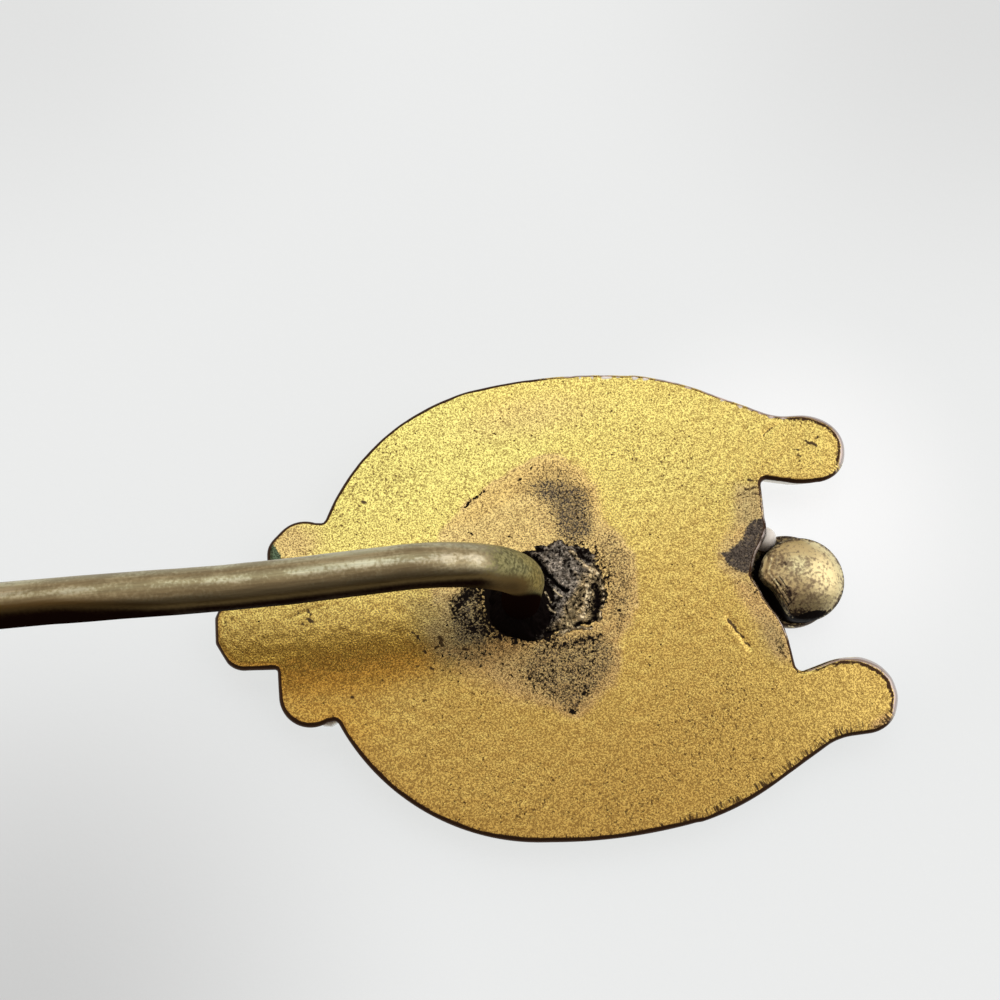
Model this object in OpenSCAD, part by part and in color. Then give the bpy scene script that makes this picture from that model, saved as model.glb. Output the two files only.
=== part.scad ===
// Stick pin: a stamped plate with a wire soldered to its back, a domed button in the notch
// between its arms, and a pale enamel layer on its front. It lies on its front, with the
// matted back of the plate upwards and the wire running out to -X. Origin: bottom centre.

/* [Overall] */
// Length from the tips of the arms to the point of the pin
overall_len = 58; // [40:1:75]

/* [Plate] */
// Length of the plate along the pin
plate_len = 16.14; // [12:0.02:22]
// Width of the plate across the pin
plate_wid = 11.54; // [9:0.02:16]
// Thickness of the plate
plate_t = 0.5; // [0.4:0.05:1.2]

/* [Front layer] */
// Thickness of the enamel on the front
enamel_t = 0.45; // [0.3:0.05:1]
// How far the enamel stays inside the plate's edge
enamel_inset = 0.22; // [0.1:0.02:0.4]
// Gap between pieces that aren't soldered
seat_gap = 0.03; // [0.02:0.01:0.06]
// Diameter of the enamel that rounds off the corners beside the side lobes
corner_fill_d = 0.64; // [0.4:0.02:0.8]
// Diameter of the enamel bead between plate and button
bead_d = 0.7; // [0.5:0.05:0.9]
// Height of that bead
bead_h = 0.8; // [0.5:0.05:0.95]

/* [Pin wire] */
// Diameter of the wire
wire_d = 0.92; // [0.8:0.02:1.2]
// Clear height between the plate and the wire
wire_gap = 4.35; // [4.2:0.05:6]
// Radius of the bend, to the wire's centre line
bend_r = 2.5; // [1:0.1:3]
// Length of the tapered point
point_len = 4; // [2:0.5:8]
// Diameter at the very end of the point
point_d = 0.16; // [0.1:0.02:0.3]

/* [Solder] */
// Diameter of the puddle beside the wire's foot
puddle_d = 2.5; // [1.8:0.1:3.4]
// Height of the puddle
puddle_h = 0.22; // [0.1:0.02:0.4]
// Height of the collar that climbs the wire
collar_h = 0.5; // [0.3:0.05:1]

/* [Button] */
// Diameter of the dome
dome_d = 2.1; // [1.6:0.02:2.4]
// How far the top of the dome stands above the plate's back
dome_rise = 0.42; // [0.2:0.02:0.8]
// Height of the domed part
dome_h = 0.5; // [0.3:0.02:0.8]
// Diameter of the flange at the front
flange_d = 2.36; // [2.2:0.02:2.6]
// Thickness of the flange
flange_t = 0.3; // [0.2:0.05:0.4]
// Diameter of the neck between flange and dome
neck_d = 2.1; // [1.8:0.02:2.2]
// How far the neck stays below the plate's back
neck_drop = 0.15; // [0:0.05:0.4]

/* [Hidden] */
$fn = 48;

// The plate's own size in the table of arcs below
table_len = 16.14;
table_wid = 11.54;
sx = plate_len / table_len;
sy = plate_wid / table_wid;

// Half of the outline, walked from the middle lobe over the top to the notch. Each row is an
// arc: centre x, centre y, radius, first angle, last angle. Straight runs join the arcs. An
// arc whose angle falls is convex, one whose angle grows is hollow.
ARCS = [
    [-7.02,  0.28,  0.15, 180.0, 145.0],  // corner of the middle lobe
    [-6.45,  0.45,  0.58, 142.0,  90.0],  // shoulder of the middle lobe
    [-5.79,  1.14,  0.06, 270.0, 360.0],  // corner between middle and side lobe
    [-4.95,  1.75,  0.78, 180.0,  65.0],  // side lobe
    [-4.46,  2.50,  0.06, 245.0, 335.0],  // corner between side lobe and body
    [ 0.60,  0.24,  5.46, 155.5,  95.0],  // body, towards the lobes
    [ 1.71, -7.41, 13.18,  95.0,  81.5],  // body, widest stretch
    [ 2.55, -0.81,  6.55,  79.0,  63.5],  // body, towards the arm
    [ 7.70,  5.58,  1.50, 244.0, 270.0],  // sweep into the arm
    [ 8.05,  3.15,  0.92,  90.0, -85.0],  // round end of the arm
    [ 7.85,  4.20,  1.97, -85.0, -105.0], // inner side of the arm
    [ 6.78,  2.27,  0.17,  90.0, 180.0],  // corner between arm and body
    [ 4.78,  1.80,  1.80,   0.0, -32.0],  // swelling beside the notch
    [ 6.02,  0.00,  0.06, 148.0, 180.0],  // bottom of the notch
];
ARC_X = 0;
ARC_Y = 1;
ARC_R = 2;
ARC_FROM = 3;
ARC_TO = 4;
// Largest turn between two points of an arc, in degrees
arc_step = 7;

// Heights of the pieces, from the surface that the pin lies on
plate_z = enamel_t + seat_gap;
back_z = plate_z + plate_t;
wire_r = wire_d / 2;
wire_z = back_z + wire_gap + wire_r;

// Places along the pin, from the middle of the table of arcs
arm_end_x = (8.05 + 0.92) * sx;
point_x = arm_end_x - overall_len;
centre_x = (arm_end_x + point_x) / 2;
foot = [0.19 * sx, -0.15 * sy];
puddle = [1.20 * sx, 0.05 * sy];
dome_at = [7.20 * sx, -0.20 * sy];
flange_at = [7.05 * sx, -0.09 * sy];
corner_fill = [-4.66 * sx, 2.16 * sy];
bead = [6.50 * sx, 1.02 * sy];
// The wire's foot is sunk this far into the plate
foot_depth = 0.3;

// Radius of an arc row moved inwards by inset, never less than a hair
function inset_r(row, inset) =
    max(0.01, row[ARC_R] + (row[ARC_TO] < row[ARC_FROM] ? -inset : inset));

// Points along one arc row, first angle to last
function arc_points(row, inset) =
    let (n = max(2, ceil(abs(row[ARC_TO] - row[ARC_FROM]) / arc_step)),
         r = inset_r(row, inset))
    [for (i = [0:n])
        let (a = row[ARC_FROM] + (row[ARC_TO] - row[ARC_FROM]) * i / n)
        [(row[ARC_X] + r * cos(a)) * sx, (row[ARC_Y] + r * sin(a)) * sy]];

// One half of the outline, then the whole of it
function half_outline(inset) = [for (row = ARCS) each arc_points(row, inset)];
function whole_outline(inset) =
    let (half = half_outline(inset), n = len(half))
    [each half, for (i = [n - 1:-1:0]) [half[i][0], -half[i][1]]];

module plate_outline(inset = 0) {
    polygon(whole_outline(inset));
}

// Moves a piece from the table's middle to the middle of the whole pin
module placed() {
    translate([-centre_x, 0, 0]) children();
}

module plate() {
    translate([0, 0, plate_z]) linear_extrude(plate_t) plate_outline();
}

module solder() {
    translate([puddle.x, puddle.y, back_z - puddle_h])
        cylinder(h = 2 * puddle_h, d1 = puddle_d, d2 = 0.72 * puddle_d);
    translate([foot.x, foot.y, back_z - collar_h / 2])
        cylinder(h = 1.5 * collar_h, r1 = 2.1 * wire_r, r2 = wire_r);
}

module wire() {
    stub_top = wire_z - bend_r;
    shank_x = foot.x - bend_r;
    shank_len = shank_x - point_x - point_len;
    translate([foot.x, foot.y, back_z - foot_depth])
        cylinder(h = stub_top - back_z + foot_depth, d = wire_d);
    translate([shank_x, foot.y, stub_top]) rotate([90, 0, 0])
        rotate_extrude(angle = 90) translate([bend_r, 0]) circle(d = wire_d);
    translate([shank_x, foot.y, wire_z]) rotate([0, -90, 0])
        cylinder(h = shank_len, d = wire_d);
    translate([shank_x - shank_len, foot.y, wire_z]) rotate([0, -90, 0])
        cylinder(h = point_len, d1 = wire_d, d2 = point_d);
}

module plate_with_pin() {
    color([0.80, 0.65, 0.34]) placed() union() {
        plate();
        solder();
        wire();
    }
}

// Solid of revolution of the dome: a short drum with a spherical top, its base at z = 0
module dome(drum_h) {
    dome_r = dome_d / 2;
    ball_r = (dome_r * dome_r + dome_h * dome_h) / (2 * dome_h);
    cylinder(h = drum_h, d = dome_d);
    intersection() {
        translate([0, 0, drum_h + dome_h - ball_r]) sphere(r = ball_r);
        translate([0, 0, drum_h / 2]) cylinder(h = drum_h / 2 + dome_h, d = dome_d);
    }
}

module button() {
    dome_base = back_z + dome_rise - dome_h;
    color([0.66, 0.60, 0.46]) placed() union() {
        translate([flange_at.x, flange_at.y, 0]) cylinder(h = flange_t, d = flange_d);
        difference() {
            union() {
                translate([flange_at.x, flange_at.y, flange_t / 2])
                    cylinder(h = back_z - neck_drop - flange_t / 2, d = neck_d);
                translate([dome_at.x, dome_at.y, flange_t / 2]) dome(dome_base - flange_t / 2);
            }
            translate([0, 0, flange_t]) linear_extrude(back_z + dome_h) plate_outline(-seat_gap);
        }
    }
}

module front_enamel() {
    color([0.86, 0.83, 0.76]) placed() difference() {
        union() {
            linear_extrude(enamel_t) plate_outline(enamel_inset);
            // The enamel rounds off the corners between side lobes and body
            for (side = [-1, 1])
                translate([corner_fill.x, side * corner_fill.y, 0])
                    cylinder(h = enamel_t, d = corner_fill_d);
            // and wells up in the corner between plate and button
            translate([bead.x, bead.y, 0]) cylinder(h = bead_h, d = bead_d);
        }
        translate([0, 0, enamel_t]) linear_extrude(bead_h) plate_outline(-seat_gap);
        translate([flange_at.x, flange_at.y, -1])
            cylinder(h = bead_h + 2, d = flange_d + 2 * seat_gap);
    }
}

plate_with_pin();
button();
front_enamel();
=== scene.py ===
"""Looks of a stick pin that lies on its front, seen from its matted back.

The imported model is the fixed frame. Each sub-assembly is a class: its sizes are dataclass fields in
millimetres, its meshes are worked out as numpy arrays, and its finish is a node material that reads
Object coordinates or a named attribute of the mesh. Places on the plate are given from the plate's own
middle, in the plane of its back, and moved to the middle of the whole pin when a mesh is made.
"""

import logging
import math
from dataclasses import dataclass, field
from enum import Enum
from typing import Protocol

import bpy
import numpy as np
from mathutils import Matrix, Vector
from mathutils.geometry import delaunay_2d_cdt

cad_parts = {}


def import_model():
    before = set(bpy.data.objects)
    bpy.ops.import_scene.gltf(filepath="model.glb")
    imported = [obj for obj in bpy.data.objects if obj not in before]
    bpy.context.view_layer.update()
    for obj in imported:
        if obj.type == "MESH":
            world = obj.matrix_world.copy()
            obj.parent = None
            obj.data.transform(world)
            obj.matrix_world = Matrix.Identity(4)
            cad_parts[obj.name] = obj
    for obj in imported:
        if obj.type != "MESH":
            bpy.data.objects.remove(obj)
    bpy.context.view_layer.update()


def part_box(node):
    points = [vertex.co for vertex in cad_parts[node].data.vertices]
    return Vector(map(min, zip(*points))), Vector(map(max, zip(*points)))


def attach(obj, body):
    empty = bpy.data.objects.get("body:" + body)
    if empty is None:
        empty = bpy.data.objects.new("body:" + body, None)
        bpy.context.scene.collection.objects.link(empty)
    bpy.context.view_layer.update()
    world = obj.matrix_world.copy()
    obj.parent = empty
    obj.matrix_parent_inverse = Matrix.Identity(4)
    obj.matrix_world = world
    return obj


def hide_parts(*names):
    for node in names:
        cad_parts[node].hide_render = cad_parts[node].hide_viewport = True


LOG = logging.getLogger("stick_pin")
MM = 0.001
BODY = "root"
FULL_TURN = 2.0 * math.pi
RIGHT_ANGLE = 0.5 * math.pi
Array = np.ndarray
Place = tuple[float, float]
Triple = tuple[float, float, float]
Colour = Triple

# The noise: odd factors and a mask of 32 bits, and what sets one layer apart from the next
ODD = (374761393, 668265263, 1274126177, 2246822519)
WORD = 0xFFFFFFFF
LAYER_SHIFT = 17.3
LAYER_SEED = 31

# Rows of even triangles lie this share of a side apart, and so many points are measured at a time
ROW_STEP = 0.866
CHUNK = 4000

# A distance that is beyond every mark, in millimetres
FAR = 9.0


class Slot(Enum):
    """The record's material slots."""

    GILT = "gilt_brass"
    WIRE = "pin_wire"
    SOLDER = "solder"
    BUTTON = "button_metal"
    ENAMEL = "enamel"


# Arrays: soft steps, noise and marks


def smooth(value: Array, low: float, high: float) -> Array:
    """Soft step.

    Args:
        value: Any array.
        low: Value at which the step begins.
        high: Value at which it ends; it may be the lower one.

    Returns:
        0 at low, 1 at high, and 3t^2 - 2t^3 between them.
    """
    t = np.clip((value - low) / (high - low), 0.0, 1.0)
    return t * t * (3.0 - 2.0 * t)


def bell(away: Array, width: Array | float, power: float = 2) -> Array:
    """Bell of a distance: e to the minus (distance / width) to the power."""
    return np.exp(-((away / width) ** power))


def unit(vectors: Array) -> Array:
    """Vectors scaled to the length 1."""
    return vectors / np.linalg.norm(vectors, axis=-1, keepdims=True)


def away_from(points: Array, place: Place) -> Array:
    """Distance of points from a place, seen from above."""
    return np.hypot(points[:, 0] - place[0], points[:, 1] - place[1])


def cell_value(cells: Array, seed: int) -> Array:
    """Even pseudo-random value from -1 to 1 for whole-numbered cells.

    The indices and the seed are multiplied by large odd numbers, added, folded with shifts and scaled.

    Args:
        cells: Indices, shape (n, 3).
        seed: Another whole number.

    Returns:
        One value per row.
    """
    h = (cells @ np.array(ODD[:3]) + seed * ODD[3]) & WORD
    h = ((h ^ (h >> 13)) * ODD[2]) & WORD
    h = ((h ^ (h >> 16)) * ODD[3]) & WORD
    return (h ^ (h >> 15)) / (0.5 * WORD) - 1.0


def lumps(points: Array, size: float, seed: int, octaves: int = 1) -> Array:
    """Smooth noise: the eight corners of a cell, blended with soft steps along each axis.

    Args:
        points: Places, shape (n, 2) or (n, 3).
        size: Width of one lump, in the units of the points.
        seed: Whole number that picks the pattern.
        octaves: How many layers are added, each half as wide and half as strong.

    Returns:
        One value per row, about -1 to 1.
    """
    p = np.zeros((len(points), 3))
    p[:, : points.shape[1]] = points
    added = np.zeros(len(points))
    for octave in range(octaves):
        q = p / (size * 0.5**octave) + LAYER_SHIFT * (octave + 1)
        base = np.floor(q).astype(np.int64)
        f = smooth(q - base, 0.0, 1.0)
        layer = np.zeros(len(points))
        for corner in np.ndindex(2, 2, 2):
            weight = np.prod(np.where(corner, f, 1.0 - f), axis=1)
            layer += weight * cell_value(base + np.array(corner), seed + LAYER_SEED * octave)
        added += layer * 0.5**octave
    return added


def shaken(points: Array, reach: float, size: float, seed: int, octaves: int) -> Array:
    """Places moved about by noise, which makes what is drawn on them wander.

    Args:
        points: Places, shape (n, 2).
        reach: Largest shift.
        size: Width of one lump of the noise.
        seed: Pattern of the shift along X; the next one serves Y.
        octaves: Layers of the noise.

    Returns:
        The moved places.
    """
    shift = [lumps(points, size, each, octaves) for each in (seed, seed + 1)]
    return points + reach * np.stack(shift, axis=1)


class Mark(Protocol):
    """A stroke, spot or zone: anything that has a strength at each place on the plate."""

    def mask(self, points: Array) -> Array:
        """The strength at each point."""


@dataclass(frozen=True)
class Stroke:
    """A straight mark from one place to another, in millimetres."""

    x0: float
    y0: float
    x1: float
    y1: float
    width: float
    strength: float

    def mask(self, points: Array) -> Array:
        """Strength times a bell of the distance to the line, half as wide as the stroke.

        Args:
            points: Places, shape (n, 2).

        Returns:
            One value per row.
        """
        a = np.array([self.x0, self.y0])
        d = np.array([self.x1, self.y1]) - a
        t = np.clip((points - a) @ d / (d @ d), 0.0, 1.0)
        away = np.hypot(*(points - a - t[:, None] * d).T)
        return self.strength * bell(2.0 * away, self.width)


@dataclass(frozen=True)
class Spot:
    """A soft oval stain, in millimetres and degrees."""

    x: float
    y: float
    rx: float
    ry: float
    turn: float
    soft: float
    strength: float

    def mask(self, points: Array) -> Array:
        """Strength inside the oval, fading over its outer share soft.

        Args:
            points: Places, shape (n, 2).

        Returns:
            One value per row.
        """
        a = math.radians(self.turn)
        dx, dy = points[:, 0] - self.x, points[:, 1] - self.y
        u = (dx * math.cos(a) + dy * math.sin(a)) / self.rx
        v = (dy * math.cos(a) - dx * math.sin(a)) / self.ry
        return self.strength * smooth(np.hypot(u, v), 1.0 + 0.4 * self.soft, 1.0 - self.soft)


def strokes(*rows: tuple[float, ...]) -> tuple[Stroke, ...]:
    """One stroke per row, whose numbers are the fields of Stroke."""
    return tuple(Stroke(*row) for row in rows)


def spots(*rows: tuple[float, ...]) -> tuple[Spot, ...]:
    """One spot per row, whose numbers are the fields of Spot."""
    return tuple(Spot(*row) for row in rows)


def most(marks: tuple[Mark, ...], points: Array) -> Array:
    """The strongest of several marks at each point."""
    return np.max([mark.mask(points) for mark in marks], axis=0)


def total(marks: tuple[Mark, ...], points: Array) -> Array:
    """The sum of several marks at each point."""
    return np.sum([mark.mask(points) for mark in marks], axis=0)


# Meshes from arrays


def directions(count: int) -> Array:
    """Unit directions at even angles, all the way round."""
    a = np.linspace(0.0, FULL_TURN, count, endpoint=False)
    return np.c_[np.cos(a), np.sin(a)]


def spokes(centre: Place, radii: Array, way: Array) -> Array:
    """Places at centre + radius * direction, ring after ring.

    Args:
        centre: Middle of the rings.
        radii: Radius by ring and direction; a single column serves all directions.
        way: Unit directions, shape (n, 2).

    Returns:
        Places, shape (rings * n, 2).
    """
    return (np.array(centre) + radii[:, :, None] * way).reshape(-1, 2)


def quarter_round(radius: Array | float, steps: int) -> list[tuple[Array, Array]]:
    """Cross-section of a rounded edge.

    Args:
        radius: Radius r, which may vary along the edge.
        steps: Number of rings.

    Returns:
        Inset r(1 - sin a) and drop r(1 - cos a) of each ring, for a from 0 to a right angle.
    """
    turn = np.linspace(0.0, RIGHT_ANGLE, steps)
    return [(radius * (1.0 - math.sin(a)), radius * (1.0 - math.cos(a))) for a in turn]


def pushed_out(places: Array, centre: Place, radius: float) -> Array:
    """Moves the points inside a circle straight out to it.

    Args:
        places: Places, shape (n, 2).
        centre: Middle of the circle.
        radius: Radius of the circle.

    Returns:
        The moved places.
    """
    d = places - np.array(centre)
    away = np.hypot(*d.T)[:, None]
    return np.where(away < radius, np.array(centre) + d / np.maximum(away, 1e-6) * radius, places)


def filled(ring: Array, inner: Array) -> Array:
    """Triangles of the area inside a ring, through inner points.

    Args:
        ring: The ring's places, anticlockwise, shape (n, 2).
        inner: Places inside it, shape (m, 2).

    Returns:
        Corner indices into ring and inner, one after the other, facing up.
    """
    points = [Vector(p) for p in np.concatenate([ring, inner]).tolist()]
    made = delaunay_2d_cdt(points, [], [list(range(len(ring)))], 1, 1e-7)
    return np.array(made[2])


def grid_faces(rows: int, columns: int) -> Array:
    """Quads of a grid whose rows are closed rings, each row following the one before.

    Args:
        rows: Number of rings.
        columns: Number of points in a ring.

    Returns:
        Corner indices, shape (n, 4).
    """
    i, j = np.meshgrid(np.arange(rows - 1), np.arange(columns), indexing="ij")
    a, b = i * columns + j, i * columns + (j + 1) % columns
    return np.stack([a, b, b + columns, a + columns], axis=-1).reshape(-1, 4)


def fan_faces(ring: Array, middle: int) -> Array:
    """Triangles from a closed ring of indices to one middle point."""
    return np.c_[ring, np.roll(ring, -1), np.full(len(ring), middle)]


@dataclass
class Shell:
    """A closed surface under construction: points in millimetres, faces and named values per point."""

    points: Array
    quads: Array
    triangles: Array
    values: dict[str, Array] = field(default_factory=dict)

    @classmethod
    def capped(cls, rings: Array, ends: Array) -> "Shell":
        """Closes a stack of rings with a fan of triangles at each end.

        Args:
            rings: Places, shape (rings, n, 3), each ring turning the same way.
            ends: Middle point of the first and of the last fan, shape (2, 3).

        Returns:
            The shell.
        """
        count, around = rings.shape[:2]
        last = count * around
        ring = np.arange(around)
        fans = [fan_faces(ring, last)[:, [1, 0, 2]], fan_faces(ring + last - around, last + 1)]
        points = np.concatenate([rings.reshape(-1, 3), ends])
        return cls(points, grid_faces(count, around), np.concatenate(fans))

    @classmethod
    def lidded(cls, rings: list[Array], inner: Array) -> "Shell":
        """Closes a stack of rings of any outline by filling the first and the last.

        Args:
            rings: Places of each ring, shape (n, 3), anticlockwise, from the top down.
            inner: Places inside the first ring that its face runs through, shape (m, 3).

        Returns:
            The shell, the inner places after those of the rings.
        """
        count = len(rings[0])
        inner_at = len(rings) * count
        top = filled(rings[0][:, :2], inner[:, :2])
        top = np.where(top < count, top, top - count + inner_at)
        bottom = filled(rings[-1][:, :2], np.zeros((0, 2)))[:, ::-1] + inner_at - count
        quads = grid_faces(len(rings), count)[:, ::-1]
        return cls(np.concatenate([*rings, inner]), quads, np.concatenate([top, bottom]))

    def build(self, name: str, head_x: float, finish: bpy.types.Material, slot: Slot,
              node: str) -> bpy.types.Object:
        """Writes the mesh in metres, dresses it and sets it on its body.

        Args:
            name: Name of the piece.
            head_x: Where the plate's middle lies along the whole pin, in millimetres.
            finish: Its material.
            slot: The record's material slot; not used.
            node: CAD node that the piece stands for.

        Returns:
            The new object.
        """
        mesh = bpy.data.meshes.new(name)
        faces = (self.quads, self.triangles)
        corners = np.concatenate([part.ravel() for part in faces]).astype(np.int32)
        sides = np.concatenate([np.full(len(part), part.shape[1]) for part in faces])
        places = (self.points + [head_x, 0.0, 0.0]) * MM
        mesh.vertices.add(len(places))
        mesh.vertices.foreach_set("co", places.astype(np.float32).ravel())
        mesh.loops.add(len(corners))
        mesh.loops.foreach_set("vertex_index", corners)
        mesh.polygons.add(len(sides))
        mesh.polygons.foreach_set("loop_start", (np.cumsum(sides) - sides).astype(np.int32))
        mesh.polygons.foreach_set("use_smooth", np.ones(len(sides), bool))
        for key, value in self.values.items():
            layer = mesh.attributes.new(key, "FLOAT", "POINT")
            layer.data.foreach_set("value", value.astype(np.float32))
        mesh.materials.append(finish)
        mesh.update()
        mesh.validate()
        piece = bpy.data.objects.new(name, mesh)
        bpy.context.scene.collection.objects.link(piece)
        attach(piece, BODY)
        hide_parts(node)
        return piece


# Shader maths


class Value:
    """A number or colour socket that takes Python's operators, each of which adds a Math node."""

    def __init__(self, shader: "Shader", socket: bpy.types.NodeSocket) -> None:
        """Keeps the socket and the shader that it belongs to."""
        self.shader = shader
        self.socket = socket

    def _math(self, operation: str, a: "Value | float", b: "Value | float") -> "Value":
        """Adds one Math node for a and b."""
        return self.shader.node("ShaderNodeMath", {"operation": operation}, {0: a, 1: b})

    def __add__(self, other: "Value | float") -> "Value":
        """self + other."""
        return self._math("ADD", self, other)

    def __radd__(self, other: float) -> "Value":
        """other + self."""
        return self._math("ADD", other, self)

    def __sub__(self, other: "Value | float") -> "Value":
        """self - other."""
        return self._math("SUBTRACT", self, other)

    def __rsub__(self, other: float) -> "Value":
        """other - self."""
        return self._math("SUBTRACT", other, self)

    def __mul__(self, other: "Value | float") -> "Value":
        """self * other."""
        return self._math("MULTIPLY", self, other)

    def __rmul__(self, other: float) -> "Value":
        """other * self."""
        return self._math("MULTIPLY", other, self)

    def highest(self, other: "Value | float") -> "Value":
        """The larger of self and other."""
        return self._math("MAXIMUM", self, other)

    def step(self, low: float, high: float, bottom: float = 0.0, top: float = 1.0) -> "Value":
        """Soft step.

        Args:
            low: Value at which the step begins.
            high: Value at which it ends.
            bottom: Result below it.
            top: Result above it.

        Returns:
            The stepped value.
        """
        settings = {"interpolation_type": "SMOOTHSTEP"}
        inputs = {0: self, 1: low, 2: high, 3: bottom, 4: top}
        return self.shader.node("ShaderNodeMapRange", settings, inputs)


class Shader:
    """A node material under construction, with Object coordinates in millimetres."""

    def __init__(self, owner: bpy.types.Material | bpy.types.World, surface: str, scale: float) -> None:
        """Takes the owner's nodes and adds the coordinates.

        Args:
            owner: The material, or the world, whose coordinates are directions.
            surface: Name of its own shader node.
            scale: Factor on the coordinates.
        """
        self.owner = owner
        owner.use_nodes = True
        self.tree = owner.node_tree
        self.surface = self.tree.nodes[surface]
        kind = "Object" if isinstance(owner, bpy.types.Material) else "Generated"
        place = self.tree.nodes.new("ShaderNodeTexCoord").outputs[kind]
        self.place = self.node("ShaderNodeVectorMath", {"operation": "SCALE"}, {0: place, "Scale": scale})

    @classmethod
    def for_material(cls, name: str) -> "Shader":
        """A new material with that name, with Object coordinates in millimetres."""
        return cls(bpy.data.materials.new(name), "Principled BSDF", 1.0 / MM)

    @classmethod
    def for_world(cls, name: str) -> "Shader":
        """A new world with that name, set as the scene's."""
        world = bpy.data.worlds.new(name)
        bpy.context.scene.world = world
        return cls(world, "Background", 1.0)

    def node(self, kind: str, settings: dict, inputs: dict, output: int | str = 0) -> Value:
        """Adds one node.

        Args:
            kind: Type of the node.
            settings: Its own properties, set first.
            inputs: Values, sockets or Values by name or index of the input.
            output: Name or index of the output wanted.

        Returns:
            That output.
        """
        made = self.tree.nodes.new(kind)
        for key, value in settings.items():
            setattr(made, key, value)
        for key, value in inputs.items():
            self.feed(made.inputs[key], value)
        return Value(self, made.outputs[output])

    def feed(self, socket: bpy.types.NodeSocket, value: object) -> None:
        """Links a socket to a Value or another socket, or sets it to a number, vector or colour."""
        if isinstance(value, Value):
            self.tree.links.new(value.socket, socket)
        elif isinstance(value, bpy.types.NodeSocket):
            self.tree.links.new(value, socket)
        elif isinstance(value, tuple) and len(value) == 3 and len(socket.default_value) == 4:
            socket.default_value = (*value, 1.0)
        else:
            socket.default_value = value

    def vector(self, operation: str, a: Value | Triple, b: Value | Triple, output: int = 0) -> Value:
        """Adds one Vector Math node for a and b."""
        return self.node("ShaderNodeVectorMath", {"operation": operation}, {0: a, 1: b}, output)

    def stretched(self, scale: Triple) -> Value:
        """Object coordinates multiplied by one factor per axis."""
        return self.vector("MULTIPLY", self.place, scale)

    def apart(self, place: Triple) -> Value:
        """Distance from a place, in millimetres."""
        return self.vector("DISTANCE", self.place, place, 1)

    def noise(self, size: float, detail: float, where: Value | None = None, seed: float = 0.0) -> Value:
        """Noise from 0 to 1.

        Args:
            size: Width of a lump in millimetres.
            detail: Number of finer layers.
            where: Coordinates, or None for the plain ones.
            seed: Fourth coordinate, which picks the pattern.

        Returns:
            The noise.
        """
        inputs = {"Vector": where or self.place, "W": seed, "Scale": 1.0 / size, "Detail": detail}
        return self.node("ShaderNodeTexNoise", {"noise_dimensions": "4D"}, inputs)

    def named(self, name: str) -> Value:
        """A value that the mesh carries at its points."""
        return self.node("ShaderNodeAttribute", {"attribute_name": name}, {}, "Fac")

    def mix(self, factor: Value | float, a: Value | Colour, b: Value | Colour) -> Value:
        """Colour a where the factor is 0 and b where it is 1."""
        return self.node("ShaderNodeMix", {"data_type": "RGBA"}, {0: factor, 6: a, 7: b}, 2)

    def tinted(self, colour: Value | Colour, tint: Value | Colour) -> Value:
        """A colour multiplied by another."""
        return self.vector("MULTIPLY", colour, tint)

    def shaded(self, colour: Value | Colour, factor: Value) -> Value:
        """A colour multiplied by a grey value."""
        return self.tinted(colour, self.node("ShaderNodeCombineXYZ", {}, {0: factor, 1: factor, 2: factor}))

    def bumped(self, height: Value, depth: float) -> Value:
        """A normal from a height, of which 1 stands for a depth in millimetres."""
        return self.node("ShaderNodeBump", {}, {"Height": height, "Distance": depth * MM, "Strength": 1.0})

    def finish(self, inputs: dict) -> bpy.types.Material:
        """Feeds the surface, by the names of its inputs, and returns the finished material."""
        for key, value in inputs.items():
            self.feed(self.surface.inputs[key], value)
        return self.owner


# Finishes


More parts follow.
